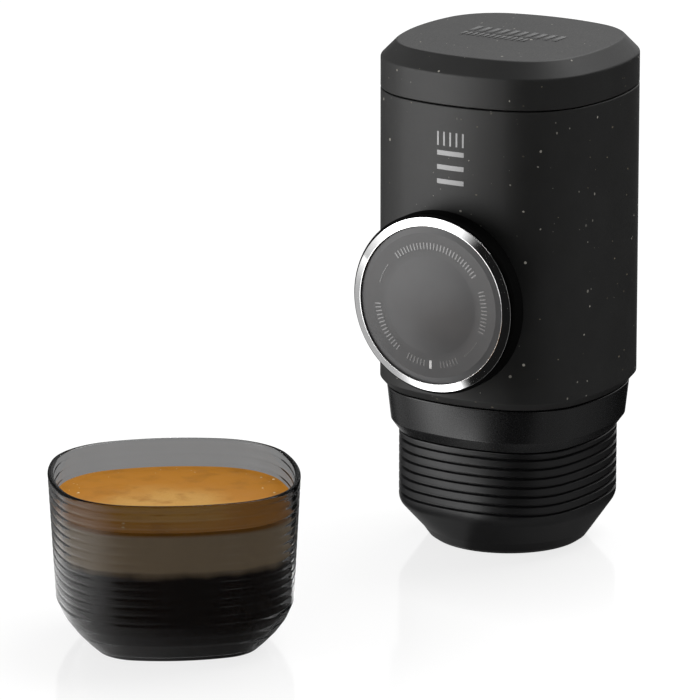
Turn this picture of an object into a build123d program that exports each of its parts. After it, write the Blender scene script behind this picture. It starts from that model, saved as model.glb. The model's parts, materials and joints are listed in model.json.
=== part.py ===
from build123d import *
from math import atan2, cos, degrees, radians, sin, sqrt
import os

# Handheld manual espresso maker with its cup, in millimetres.
# The origin is the centre of the maker's base on the surface it stands on, +Z is up,
# and the piston knob points towards -Y. Insets are measured inwards from the plan outline
# of the casing, and "out" is the distance from the maker's axis towards the knob.

# ---- plan outline: four bowed sides joined by tangent corner arcs ----
half_flat = 31.0
side_radius = 57.0
corner_radius = 21.0

# ---- heights of the visible forms ----
foot_edge_height = 0.9
foot_top = 3.3
bowl_top = 10.3
head_top = 29.0
band_edge_height = 2.9
band_top = 41.0
casing_height = 78.1
casing_edge_height = 2.2
cap_height = 12.1
cap_edge_height = 4.2

# ---- insets of the visible forms ----
head_inset = 4.9
band_low_inset = 2.8
band_high_inset = 1.8
casing_edge_inset = 1.9
cap_edge_inset = 4.0

# ---- round foot and bowl of the outlet head ----
foot_base_radius = 19.3
foot_edge_radius = 20.6
foot_radius = 22.3

# ---- ribs of the outlet head ----
head_rib_pitch = 2.45
head_rib_count = 7
head_groove_width = 0.9
head_groove_depth = 0.8
head_first_groove = 1.3

# ---- walls and clearances ----
seam_gap = 0.3
slip_gap = 0.3
close_gap = 0.2
fit_gap = 0.05
casing_wall = 2.0
head_wall = 2.0
tank_wall = 1.6
tank_floor = 1.5
cap_wall = 2.0
deck_thickness = 3.0
casing_lip = 2.2
lip_height = 2.9

# ---- knob ----
knob_height = 70.0
knob_radius = 23.4
knob_depth = 5.2
knob_web = 2.0
knob_edge = 0.9
knob_lift = 1.4
ring_margin = 0.8
ring_width = 2.1
ring_height = 0.8
ring_lip_height = 1.6
ring_lip_width = 0.35
disc_height = 1.45
disc_edge = 0.3
disc_spigot = 1.6
disc_seat = 2.0

# ---- piston, its lock and its travel ----
piston_travel = 12.5
knob_turn_degrees = 60.0
pad_proud = 1.0
pad_margin = 5.5
pad_edge = 0.7
bush_proud = 0.6
bush_depth = 18.0
bush_wall = 2.1
boss_radius = 8.0
boss_wall = 1.4
lug_reach = 1.8
lug_length = 2.5
lug_width = 5.0
key_clearance = 0.4
lug_play = 0.4
free_turn_gap = 1.6
barrel_reach = 4.0
barrel_shoulder = 3.0
barrel_wall = 2.7
gland_shoulder = 1.4
gland_length = 3.0
bore_radius = 6.5
rod_radius = 4.0
journal_radius = 2.6
tenon_radius = 2.0
tenon_gap = 1.0
head_length = 6.0
head_play = 0.1
dead_space = 0.5
stop_gap = 0.3
seal_section = 1.4
knob_screw_radius = 1.5
knob_screw_length = 10.0
knob_screw_head = 4.5
knob_screw_head_height = 1.2
knob_screw_slot = (1.0, 0.6)
screw_end_gap = 1.0
spring_wire = 0.9
spring_turns = 8

# ---- check valves ----
valve_y = 13.0
port_radius = 1.5
seat_width = 0.3
ball_radius = 2.5
ball_lift = 1.4
ball_room = 0.9
bypass_notch = (1.0, 0.8)
inlet_depth = 8.5
outlet_plug_length = 4.9
outlet_spring_length = 5.0
outlet_spring_wire = 0.5
outlet_spring_turns = 4
valve_plug_bore = 1.2
nipple_wall = 1.6
nipple_height = 3.5
tower_wall = 3.1
tank_seal_width = 1.6
tank_seal_height = 1.2
filter_wall = 0.8
filter_height = 6.0
filter_hole = 0.6
filter_circle_radii = (2.2, 4.6)
filter_circle_counts = (6, 12)

# ---- frame ----
bush_cover = 1.7
post_radius = 3.0
web_width = 4.0
web_reach = 12.0
channel_depth = 1.6
screw_radius = 1.2
screw_head_radius = 2.0
screw_head_height = 1.5
screw_head_drop = 3.5
screw_socket = 1.0
screw_socket_depth = 0.8
screw_depth = 8.0
screw_hole_rest = 0.5

# ---- tank lid ----
spigot_depth = 6.9
spigot_gap = 0.35
spigot_wall = 2.6
cap_seal_gap = 0.12
cap_seal_depth = 1.28
cap_seal_height = 2.4
cap_seal_rise = 1.6
cap_plate = 2.0
cap_roof = 2.0
cap_screw_margin = 2.3
cap_screw_radius = 0.9
cap_screw_head = 1.9
cap_screw_head_height = 1.2
cap_boss_radius = 2.6
vent_radius = 4.5
vent_stem = 1.6
vent_thickness = 0.8
vent_barb = (0.6, 1.0)

# ---- capsule chamber and bayonet ----
chamber_radius_low = 15.3
chamber_radius_high = 12.6
holder_wall = 2.0
holder_rim_width = 3.2
holder_rim_height = 2.0
holder_flange_width = 1.8
holder_seal_height = 1.0
sleeve_wall = 1.9
sleeve_drop = 4.5
sleeve_room = 0.5
bayonet_lugs = 4
bayonet_lug_width = 6.4
bayonet_lug_height = 2.0
bayonet_lug_proud = 1.5
bayonet_lug_drop = 0.7
bayonet_lug_root = 1.4
bayonet_gap = 0.4
twist_degrees = 40.0
twist_rise = 4.0
twist_steps = 14
gasket_height = 2.0
gasket_bore_gap = 0.1
gasket_overhang = 0.5
plate_margin = 0.6
plate_thickness = 0.8
plate_seal_thickness = 0.6
plate_hole = 0.6
plate_room = 1.0
funnel_floor = 7.0
funnel_height = 3.6
funnel_rim = 2.0
spout_radius = 6.0
spout_tip = 0.8
spout_taper = 1.8
spout_bore = 2.0
dish_depth = 2.6
shell_floor = 1.2
foot_bore = 12.0
spike_height = 0.8
spike_radius = 0.7
spike_circle_radii = (5.0, 10.0)
spike_circle_counts = (6, 12)
point_radius = 0.1
needle_count = 3
needle_height = 2.6
needle_radius = 1.0
needle_point = 0.15
needle_circle = 7.0
needle_plate_thickness = 1.0

# ---- cup ----
cup_x = -27.1
cup_y = -119.9
cup_turn = 36.5
cup_wall = 1.4
cup_floor = 1.5
cup_bowl_heights = (0.0, 2.0, 4.8, 7.8, 11.0)
cup_bowl_insets = (10.3, 8.1, 5.4, 3.2, 1.75)
cup_rib_pitch = 2.2
cup_rib_count = 14
cup_groove_width = 0.8
cup_groove_depth = 0.35
cup_groove_low = 11.2

# ---- worked out from the sizes above: shell and frame ----
side_offset = side_radius - half_flat
corner_place = (sqrt(2 * (side_radius - corner_radius) ** 2 - side_offset**2) - side_offset) / 2
corner_reach = corner_place * sqrt(2) + corner_radius
casing_bottom = band_top + seam_gap
casing_top = casing_bottom + casing_height
cap_bottom = casing_top + seam_gap
cap_top = cap_bottom + cap_height
inner_inset = casing_wall + close_gap
lip_inset = casing_edge_inset + casing_lip
deck_low = casing_bottom + lip_height
deck_top = deck_low + deck_thickness
tank_inset = inner_inset + tank_wall
tank_top = casing_top - seam_gap
post_place = (corner_reach - inner_inset - post_radius - fit_gap) / sqrt(2)
screw_place = (corner_reach - head_inset - screw_head_radius - 2 * close_gap) / sqrt(2)
screw_head_level = band_top - screw_head_drop
spigot_reach = corner_reach - tank_inset - spigot_gap - spigot_wall
cap_screw_place = (spigot_reach - cap_boss_radius - cap_screw_margin) / sqrt(2)

# ---- worked out: pump, knob and their lock ----
lug_radius = boss_radius + lug_reach
relief_radius = lug_radius + key_clearance
bush_radius = relief_radius + bush_wall
pad_radius = bush_radius + close_gap + pad_margin
barrel_radius = relief_radius - close_gap
boss_bore = boss_radius - boss_wall
gland_radius = bore_radius + gland_shoulder
spring_radius = (rod_radius + boss_bore) / 2
pad_out = half_flat + pad_proud
bush_seat_out = pad_out - bush_depth
barrel_front_out = bush_seat_out + barrel_reach
land_out = pad_out + bush_proud
land_length = piston_travel - lug_length - lug_play - free_turn_gap
land_in = land_out - land_length
lug_out = land_in - lug_play
boss_end = lug_out - lug_length
gland_in = bush_seat_out - gland_length
piston_front = gland_in - piston_travel - stop_gap
piston_back = piston_front - head_length
bore_end = piston_back - dead_space
barrel_end = bore_end - barrel_wall
knob_back_out = land_out + knob_lift
knob_seat_out = knob_back_out + knob_depth
knob_face_out = knob_seat_out + disc_height
ring_out = knob_seat_out + ring_height
ring_lip_out = knob_seat_out + ring_lip_height
ring_outer_radius = knob_radius - ring_margin
ring_inner_radius = ring_outer_radius - ring_width
knob_dish_radius = ring_inner_radius - disc_seat

# ---- worked out: valves ----
top_deck_top = knob_height + bush_radius + bush_cover
top_deck_low = top_deck_top - deck_thickness
nipple_top = top_deck_top + nipple_height
chamber_radius = ball_radius + ball_room
seat_radius = port_radius + seat_width
tower_radius = chamber_radius + tower_wall
nipple_radius = chamber_radius + nipple_wall
filter_radius = nipple_radius + tank_seal_width + filter_wall
ball_seat = sqrt(ball_radius**2 - seat_radius**2)
outlet_plug_low = deck_low + channel_depth
outlet_spring_low = outlet_plug_low + outlet_plug_length
outlet_ball_height = outlet_spring_low + outlet_spring_length + fit_gap + ball_radius
outlet_seat_height = outlet_ball_height + ball_seat + fit_gap
inlet_chamber_floor = top_deck_top - inlet_depth
inlet_ball_height = inlet_chamber_floor + ball_seat + fit_gap
inlet_seat_height = inlet_ball_height + ball_lift + ball_seat + fit_gap

# ---- worked out: capsule chamber and cup ----
funnel_top = funnel_floor + funnel_height
plate_level = funnel_top + plate_seal_thickness
plate_top = plate_level + plate_thickness
holder_foot = plate_top + gasket_height
holder_roof = deck_low - holder_wall
holder_rim_radius = chamber_radius_low + holder_rim_width
ledge_bore = holder_rim_radius + close_gap
holder_flange_radius = ledge_bore + holder_flange_width
gasket_radius = holder_rim_radius + gasket_overhang
gasket_bore = chamber_radius_low + gasket_bore_gap
plate_radius = gasket_radius + plate_margin
sleeve_bore = plate_radius + slip_gap
sleeve_radius = sleeve_bore + sleeve_wall
sleeve_top = band_top - sleeve_drop
cup_height = band_top + cup_floor - seam_gap

KNOB_AXIS = Plane(origin=(0, 0, knob_height), x_dir=(1, 0, 0), z_dir=(0, -1, 0))


# ---- shapes used by many pieces ----
meet = degrees(atan2(corner_place, corner_place + side_offset))


def outline(inset, z=0.0):
    """Face of the plan outline, moved inwards by inset, at height z."""
    edges = []
    for quarter in range(4):
        turn = 90.0 * quarter
        side = Vector(-side_offset, 0).rotate(Axis.Z, turn)
        bend = Vector(corner_place, corner_place).rotate(Axis.Z, turn)
        edges += CenterArc(side, side_radius - inset, turn - meet, 2 * meet).edges()
        edges += CenterArc(bend, corner_radius - inset, turn + meet, 90 - 2 * meet).edges()
    return Pos(0, 0, z) * Face(Wire(edges))


def round_outline(radius, z=0.0):
    """Circle at height z, cut into as many arcs as the plan outline has."""
    starts = [90.0 * quarter + side * meet for quarter in range(4) for side in (-1, 1)]
    sweeps = [2 * meet, 90 - 2 * meet] * 4
    arcs = [CenterArc((0, 0), radius, a, sweep) for a, sweep in zip(starts, sweeps)]
    return Pos(0, 0, z) * Face(Wire([edge for arc in arcs for edge in arc.edges()]))


def prism(inset, low, high):
    """Straight block with the plan outline."""
    return extrude(outline(inset, low), amount=high - low, dir=(0, 0, 1))


def stack(*levels):
    """Solid through outlines at rising heights, each given as (height, inset)."""
    return loft([outline(inset, z) for z, inset in levels], ruled=True)


def rod(radius, low, high, x=0.0, y=0.0):
    """Upright cylinder."""
    return Pos(x, y, (low + high) / 2) * Cylinder(radius, high - low)


def tube(outer, inner, low, high, x=0.0, y=0.0):
    """Upright ring."""
    return rod(outer, low, high, x, y) - rod(inner, low - 1, high + 1, x, y)


def turned(*points):
    """Solid of revolution about Z from (radius, height) points."""
    return revolve(Plane.XZ * make_face(Polyline(*points, close=True).edges()), Axis.Z)


def block(x, y, z, at):
    """Box of the given size centred on a point."""
    return Pos(*at) * Box(x, y, z)


def corners(place):
    """The four points at (+-place, +-place)."""
    return [(sx * place, sy * place) for sx in (-1, 1) for sy in (-1, 1)]


def circles(radii, counts, start=0.0, y=0.0):
    """Evenly spaced points on circles about (0, y), with a radius and a count for each."""
    rows = zip(radii, counts)
    places = [(r, radians(start + 360.0 * i / n)) for r, n in rows for i in range(n)]
    return [(r * cos(a), y + r * sin(a)) for r, a in places]


def ring_groove(depth_inset, low, width):
    """Cutter for a groove all round, down to depth_inset."""
    return prism(-1.0, low, low + width) - prism(depth_inset, low - 1, low + width + 1)


def coil(radius, wire, length, turns):
    """Compression spring standing on Z = 0, over the given length."""
    rise = length - wire
    path = Helix(pitch=rise / turns, height=rise, radius=radius)
    section = Plane(path @ 0, z_dir=path % 0) * Circle(wire / 2)
    return Pos(0, 0, wire / 2) * sweep(section, path=path)


# ---- outlet head ----
def outlet_shell():
    bowl = loft([round_outline(foot_radius, foot_top), outline(head_inset, bowl_top)], ruled=True)
    body = bowl + prism(head_inset, bowl_top, head_top)
    space = prism(head_inset + head_wall, plate_top + plate_room, head_top + 1)
    body -= space - rod(sleeve_radius, plate_top, head_top + 2)
    body += rod(sleeve_radius, plate_top, sleeve_top)
    body -= rod(sleeve_bore, funnel_floor, sleeve_top + 1)
    body -= rod(foot_bore, foot_top - 1, funnel_floor - shell_floor)
    body -= rod(spout_radius + slip_gap, foot_top - 1, funnel_floor + 1)
    for i in range(head_rib_count):
        low = head_top - head_first_groove - head_groove_width - i * head_rib_pitch
        body -= ring_groove(head_inset + head_groove_depth, low, head_groove_width)
    for i in range(bayonet_lugs):
        body += bayonet_lug(i, 0.0, 0.0, 0.0)
    return body


def bayonet_lug(index, turn, drop, margin):
    """One lug of the outlet head, or with a margin the space that it needs in the collar."""
    reach = sleeve_radius + bayonet_lug_proud + margin
    lug = block(
        reach,
        bayonet_lug_width + 2 * margin,
        bayonet_lug_height + 2 * margin,
        (reach, 0, sleeve_top - bayonet_lug_drop - bayonet_lug_height / 2),
    )
    lug &= tube(reach, sleeve_radius - bayonet_lug_root, 0, cap_top)
    return Pos(0, 0, -drop) * Rot(0, 0, turn + 360.0 * index / bayonet_lugs) * lug


def foot_ring():
    return turned(
        (foot_bore, 0),
        (foot_base_radius, 0),
        (foot_edge_radius, foot_edge_height),
        (foot_radius, foot_top),
        (foot_bore, foot_top),
    )


def nozzle():
    return turned(
        (spout_bore, spout_tip),
        (spout_radius - spout_taper, spout_tip),
        (spout_radius, spout_tip + spout_taper),
        (spout_radius, funnel_floor),
        (plate_radius, funnel_floor),
        (plate_radius, funnel_top),
        (plate_radius - funnel_rim, funnel_top),
        (spout_bore, funnel_top - dish_depth),
    )


def plate_seal():
    return tube(plate_radius, plate_radius - funnel_rim, funnel_top, plate_level)


def piercing_plate():
    plate = rod(plate_radius, plate_level, plate_top)
    for x, y in circles(spike_circle_radii, spike_circle_counts):
        spike = Cone(spike_radius, point_radius, spike_height)
        plate += Pos(x, y, plate_top + spike_height / 2) * spike
    between = 180.0 / max(spike_circle_counts)
    for x, y in circles(spike_circle_radii, spike_circle_counts, between):
        plate -= rod(plate_hole, plate_level - 1, plate_top + 1, x, y)
    return plate


def chamber_gasket():
    return tube(gasket_radius, gasket_bore, plate_top, holder_foot)


# ---- collar and capsule chamber ----
def collar_band():
    low = head_top + seam_gap
    body = stack(
        (low, head_inset),
        (low + band_edge_height, band_low_inset),
        (band_top, band_high_inset),
    )
    body += prism(lip_inset + close_gap, band_top, deck_low)
    body -= rod(sleeve_radius + slip_gap, low - 1, sleeve_top + seam_gap + sleeve_room)
    body -= rod(ledge_bore, low, deck_low + 1)
    body -= rod(holder_flange_radius + close_gap, holder_roof, deck_low + 1)
    for i in range(bayonet_lugs):
        for step in range(twist_steps + 1):
            share = step / twist_steps
            body -= bayonet_lug(i, -twist_degrees * share, twist_rise * share, bayonet_gap)
        for drop in (twist_rise + bayonet_lug_height, twist_rise + 2 * bayonet_lug_height):
            body -= bayonet_lug(i, -twist_degrees, drop, bayonet_gap)
    for x, y in corners(screw_place):
        body -= rod(screw_radius + fit_gap, low - 1, deck_low + 1, x, y)
        body -= rod(screw_head_radius + close_gap, low - 1, screw_head_level, x, y)
    return body


def deck_screws():
    screws = []
    for x, y in corners(screw_place):
        low = screw_head_level - screw_head_height
        head = rod(screw_head_radius, low, screw_head_level, x, y)
        head -= Pos(x, y, low) * extrude(RegularPolygon(screw_socket, 6), screw_socket_depth)
        screws.append(head + rod(screw_radius, screw_head_level, deck_low + screw_depth, x, y))
    return screws


def capsule_holder():
    return turned(
        (chamber_radius_low, holder_foot),
        (holder_rim_radius, holder_foot),
        (holder_rim_radius, holder_foot + holder_rim_height),
        (chamber_radius_low + holder_wall, holder_foot + 2 * holder_rim_height),
        (chamber_radius_high + holder_wall, holder_roof),
        (holder_flange_radius, holder_roof),
        (holder_flange_radius, deck_low),
        (port_radius, deck_low),
        (port_radius, holder_roof),
        (chamber_radius_high, holder_roof),
    )


def needle_plate():
    low = holder_roof - needle_plate_thickness
    plate = rod(chamber_radius_high - close_gap, low, holder_roof)
    for x, y in circles([needle_circle], [needle_count]):
        needle = Cone(needle_point, needle_radius, needle_height)
        plate += Pos(x, y, low - needle_height / 2) * needle
    for x, y in circles([needle_circle], [needle_count], 180.0 / needle_count):
        plate -= rod(plate_hole, low - 1, holder_roof + 1, x, y)
    return plate


def holder_seal():
    inner = chamber_radius_high + holder_wall + seal_section
    return tube(inner + seal_section, inner, deck_low, deck_low + holder_seal_height)


# ---- pump frame and valves ----
def pump_block():
    frame = prism(inner_inset, deck_low, deck_top) + prism(inner_inset, top_deck_low, top_deck_top)
    for x, y in corners(post_place):
        frame += rod(post_radius, deck_top, top_deck_low, x, y)
    for x, y in corners(screw_place):
        hole_end = deck_low + screw_depth + screw_hole_rest
        frame += rod(post_radius, deck_top, hole_end + screw_radius, x, y)
        frame -= rod(screw_radius + fit_gap, deck_low - 1, hole_end, x, y)
    frame += rod(tower_radius, deck_low, top_deck_top, 0, valve_y)
    frame += rod(nipple_radius, top_deck_low, nipple_top, 0, valve_y)
    web_length = web_reach + valve_y
    web_middle = (valve_y - web_reach) / 2
    web_height = knob_height - deck_low
    frame += block(web_width, web_length, web_height, (0, web_middle, deck_low + web_height / 2))
    roof_height = top_deck_low - knob_height
    roof_at = (0, web_middle, knob_height + roof_height / 2)
    frame += block(web_width, web_length, roof_height, roof_at)
    frame += KNOB_AXIS * (
        rod(barrel_radius, barrel_end, barrel_front_out)
        + rod(bush_radius, bush_seat_out - barrel_shoulder, bush_seat_out)
    )
    frame -= KNOB_AXIS * (
        rod(bore_radius, bore_end, barrel_front_out + 1)
        + rod(gland_radius + fit_gap, gland_in, barrel_front_out + 1)
    )
    frame -= KNOB_AXIS * rod(port_radius, -valve_y, bore_end + 1)
    frame -= rod(seat_radius, outlet_seat_height - 1, inlet_chamber_floor + 1, 0, valve_y)
    frame -= rod(chamber_radius, inlet_chamber_floor, nipple_top + 1, 0, valve_y)
    notch_width, notch_depth = bypass_notch
    notch_at = (0, valve_y, inlet_chamber_floor)
    frame -= block(2 * chamber_radius, notch_width, 2 * notch_depth, notch_at)
    frame -= rod(chamber_radius, deck_low - 1, outlet_seat_height, 0, valve_y)
    channel_length = valve_y + chamber_radius / 2
    channel_at = (0, channel_length / 2, deck_low + channel_depth / 2)
    frame -= block(2 * port_radius, channel_length, channel_depth, channel_at)
    frame -= KNOB_AXIS * rod(bush_radius + close_gap, bush_seat_out, half_flat)
    return frame - holder_seal()


def inlet_cage():
    radius = chamber_radius - fit_gap
    return tube(radius, seat_radius, inlet_seat_height, nipple_top, 0, valve_y)


def inlet_ball():
    return Pos(0, valve_y, inlet_ball_height) * Sphere(ball_radius)


def outlet_ball():
    return Pos(0, valve_y, outlet_ball_height) * Sphere(ball_radius)


def outlet_spring():
    radius = ball_radius - outlet_spring_wire
    spring = coil(radius, outlet_spring_wire, outlet_spring_length, outlet_spring_turns)
    return Pos(0, valve_y, outlet_spring_low) * spring


def outlet_plug():
    radius = chamber_radius - fit_gap
    return tube(radius, valve_plug_bore, outlet_plug_low, outlet_spring_low, 0, valve_y)


# ---- piston ----
def gland():
    ring = tube(gland_radius, rod_radius + fit_gap, gland_in, bush_seat_out)
    return KNOB_AXIS * ring


def piston_rod():
    shoulder = knob_back_out - fit_gap
    end = knob_back_out + knob_web + fit_gap
    body = rod(rod_radius, piston_front, shoulder) + rod(journal_radius, shoulder, end)
    body += rod(tenon_radius, piston_back + tenon_gap, piston_front)
    body -= rod(knob_screw_radius, end - knob_screw_length, end + 1)
    return KNOB_AXIS * body


def piston_head():
    body = rod(bore_radius - head_play, piston_back, piston_front)
    body -= rod(tenon_radius, piston_back + tenon_gap, piston_front + 1)
    for low in seal_places():
        body -= tube(bore_radius + 1, bore_radius - seal_section, low, low + seal_section)
    return KNOB_AXIS * body


def seal_places():
    """Where the two piston seals start, along the axis."""
    third = (head_length - 2 * seal_section) / 3
    return [piston_back + third, piston_back + 2 * third + seal_section]


def piston_seals():
    inner = bore_radius - seal_section
    rings = [
        tube(bore_radius - fit_gap, inner, low, low + seal_section) for low in seal_places()
    ]
    return [KNOB_AXIS * ring for ring in rings]


def return_spring():
    length = knob_back_out - bush_seat_out
    spring = coil(spring_radius, spring_wire, length, spring_turns)
    return KNOB_AXIS * Pos(0, 0, bush_seat_out) * spring


def guide_bush():
    body = tube(bush_radius, boss_radius + slip_gap, bush_seat_out, land_out)
    relief = rod(relief_radius, bush_seat_out - 1, land_in)
    turn = radians(knob_turn_degrees)
    stop_width = 2 * (boss_radius * cos(turn) - lug_width / 2 * sin(turn) - slip_gap)
    stop_low = barrel_front_out + close_gap
    stop_middle = (0, 0, (land_in + stop_low) / 2)
    stops = block(stop_width, 4 * bush_radius, land_in - stop_low, stop_middle)
    relief -= stops & tube(bush_radius, boss_radius + slip_gap, barrel_front_out, land_in)
    keyway = lug_width + 2 * key_clearance
    keyways = block(2 * relief_radius, keyway, 4 * land_length, (0, 0, land_out))
    body -= relief + (keyways & rod(relief_radius, land_in - 1, land_out + 1))
    return KNOB_AXIS * body


# ---- knob ----
def knob_body():
    edge = knob_edge
    body = turned(
        (journal_radius + fit_gap, knob_back_out),
        (boss_bore, knob_back_out),
        (boss_bore, boss_end),
        (boss_radius, boss_end),
        (boss_radius, knob_back_out),
        (knob_radius - edge, knob_back_out),
        (knob_radius, knob_back_out + edge),
        (knob_radius, knob_seat_out - edge / 2),
        (knob_radius - edge / 2, knob_seat_out),
        (knob_dish_radius, knob_seat_out),
        (knob_dish_radius, knob_back_out + knob_web),
        (journal_radius + fit_gap, knob_back_out + knob_web),
    )
    lugs = block(2 * lug_radius, lug_width, lug_length, (0, 0, lug_out - lug_length / 2))
    body += lugs & tube(lug_radius, boss_radius - boss_wall / 2, boss_end - 1, lug_out + 1)
    return KNOB_AXIS * body


def knob_ring():
    return KNOB_AXIS * turned(
        (ring_inner_radius, knob_seat_out),
        (ring_outer_radius, knob_seat_out),
        (ring_outer_radius, ring_out),
        (ring_inner_radius + ring_lip_width, ring_lip_out),
        (ring_inner_radius, ring_lip_out),
    )


def knob_disc():
    radius = ring_inner_radius - fit_gap
    spigot = knob_seat_out - disc_spigot
    return KNOB_AXIS * turned(
        (0, spigot),
        (knob_dish_radius - close_gap, spigot),
        (knob_dish_radius - close_gap, knob_seat_out),
        (radius, knob_seat_out),
        (radius, knob_face_out - disc_edge),
        (radius - disc_edge, knob_face_out),
        (0, knob_face_out),
    )


def knob_screw():
    seat = knob_back_out + knob_web + fit_gap
    screw = rod(knob_screw_head, seat, seat + knob_screw_head_height)
    tip = seat - knob_screw_length + screw_end_gap
    screw += rod(knob_screw_radius - fit_gap, tip, seat)
    slot_width, slot_depth = knob_screw_slot
    slot_at = (0, 0, seat + knob_screw_head_height)
    return KNOB_AXIS * (screw - block(2 * knob_screw_head, slot_width, 2 * slot_depth, slot_at))


# ---- casing, tank and lid ----
def casing():
    body = stack(
        (casing_bottom, casing_edge_inset),
        (casing_bottom + casing_edge_height, 0),
        (casing_top, 0),
    )
    pad = chamfer(rod(pad_radius, 0, pad_out).edges().sort_by(Axis.Z)[-1], pad_edge)
    body += KNOB_AXIS * pad
    body -= prism(lip_inset, casing_bottom - 1, deck_low + 1)
    body -= prism(casing_wall, deck_low, casing_top + 1)
    return body - KNOB_AXIS * rod(bush_radius + close_gap, 0, pad_out + 1)


def water_tank():
    body = prism(inner_inset, top_deck_top, tank_top)
    body -= prism(tank_inset, top_deck_top + tank_floor, tank_top + 1)
    return body - rod(nipple_radius + close_gap, top_deck_top - 1, tank_top, 0, valve_y)


def tank_seal():
    low = top_deck_top + tank_floor
    outer = nipple_radius + tank_seal_width
    return tube(outer, nipple_radius, low, low + tank_seal_height, 0, valve_y)


def inlet_filter():
    low = top_deck_top + tank_floor
    body = rod(filter_radius, low, low + filter_height, 0, valve_y)
    inner = filter_radius - filter_wall
    body -= rod(inner, low - 1, low + filter_height - filter_wall, 0, valve_y)
    for x, y in circles(filter_circle_radii, filter_circle_counts, y=valve_y):
        body -= rod(filter_hole, low + filter_height / 2, low + filter_height + 1, x, y)
    return body


def cap_shell():
    edge = cap_top - cap_edge_height
    body = stack((cap_bottom, 0), (edge, 0), (cap_top, cap_edge_inset))
    room_edge = edge - cap_roof / 2
    room = stack(
        (cap_bottom - 1, cap_wall),
        (room_edge, cap_wall),
        (cap_top - cap_roof, cap_wall + cap_edge_inset),
    )
    body -= room
    for x, y in corners(cap_screw_place):
        boss = rod(cap_boss_radius, cap_bottom + cap_plate, cap_top - cap_roof / 2, x, y)
        body += boss
        body -= rod(cap_screw_radius, cap_bottom, cap_top - cap_roof, x, y)
    return body


def cap_plug():
    outer = tank_inset + spigot_gap
    low = cap_bottom - spigot_depth
    body = prism(cap_wall + close_gap, cap_bottom, cap_bottom + cap_plate)
    body += prism(outer, low, cap_bottom) - prism(outer + spigot_wall, low - 1, cap_bottom)
    groove = prism(0, low + cap_seal_rise, low + cap_seal_rise + cap_seal_height)
    body -= groove - prism(cap_seal_inset() + cap_seal_depth, low, cap_bottom)
    plate_high = cap_bottom + cap_plate + 1
    for x, y in corners(cap_screw_place):
        body -= rod(cap_screw_radius + fit_gap, cap_bottom - 1, plate_high, x, y)
    return body - rod(vent_stem, cap_bottom - 1, plate_high)


def cap_seal_inset():
    """Inset of the lid seal's outer face, just off the tank's wall."""
    return tank_inset + cap_seal_gap


def cap_seal():
    low = cap_bottom - spigot_depth + cap_seal_rise
    high = low + cap_seal_height
    inner = prism(cap_seal_inset() + cap_seal_depth, low - 1, high + 1)
    return prism(cap_seal_inset(), low, high) - inner


def cap_screws():
    screws = []
    for x, y in corners(cap_screw_place):
        head = rod(cap_screw_head, cap_bottom - cap_screw_head_height, cap_bottom, x, y)
        tip = cap_top - cap_roof - screw_end_gap
        shank = rod(cap_screw_radius - fit_gap, cap_bottom, tip, x, y)
        screws.append(head + shank)
    return screws


def cap_vent():
    low = cap_bottom - vent_thickness
    high = cap_bottom + cap_plate
    body = rod(vent_radius, low, cap_bottom) + rod(vent_stem - fit_gap, low, high)
    barb_width, barb_height = vent_barb
    return body + rod(vent_stem + barb_width, high, high + barb_height)


# ---- cup ----
def cup_inset(z):
    """Inset of the cup's outer wall above its bowl."""
    bowl_height, bowl_inset = cup_bowl_heights[-1], cup_bowl_insets[-1]
    return bowl_inset * (cup_height - z) / (cup_height - bowl_height)


def inner_levels(levels):
    """The levels of the cup's bowl moved inwards by the wall, from the floor up."""
    moved = []
    for low, here, high in zip(levels, levels[1:], levels[2:]):
        rise, pull = high[0] - low[0], low[1] - high[1]
        slant = sqrt(rise**2 + pull**2)
        moved.append((here[0] + cup_wall * pull / slant, here[1] + cup_wall * rise / slant))
    (z, inset), (z_next, inset_next) = moved[:2]
    slope = (inset - inset_next) / (z_next - z)
    return [(cup_floor, inset + slope * (z - cup_floor))] + moved


def cup():
    levels = list(zip(cup_bowl_heights, cup_bowl_insets)) + [(cup_height, 0.0)]
    body = stack(*levels)
    body -= stack(*inner_levels(levels), (cup_height, cup_wall), (cup_height + 1, cup_wall))
    for i in range(cup_rib_count):
        low = cup_groove_low + i * cup_rib_pitch
        body -= ring_groove(cup_inset(low) + cup_groove_depth, low, cup_groove_width)
    return Pos(cup_x, cup_y, 0) * Rot(0, 0, cup_turn) * body


PIECES = [
    outlet_shell, foot_ring, nozzle, plate_seal, piercing_plate, chamber_gasket,
    collar_band, deck_screws, capsule_holder, needle_plate, holder_seal,
    pump_block, inlet_cage, inlet_ball, outlet_ball, outlet_spring, outlet_plug,
    gland, piston_rod, piston_head, piston_seals, return_spring, guide_bush,
    knob_body, knob_ring, knob_disc, knob_screw,
    casing, water_tank, tank_seal, inlet_filter,
    cap_shell, cap_plug, cap_seal, cap_screws, cap_vent,
    cup,
]

os.makedirs("parts", exist_ok=True)
for piece in PIECES:
    shape = piece()
    if isinstance(shape, list):
        shape = Compound(children=[solid for part in shape for solid in part.solids()])
    export_step(shape, f"parts/{piece.__name__}.step")
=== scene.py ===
"""Dresses the CAD frame of a handheld espresso maker: smooth shells, finishes, drink and studio."""

import json
from math import atan2, cos, pi, radians, sin, sqrt, tan

import bmesh
import bpy
from bpy.props import FloatProperty, FloatVectorProperty, IntProperty, PointerProperty
from bpy.types import Operator, Panel, PropertyGroup
from mathutils import Matrix, Vector, noise


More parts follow.
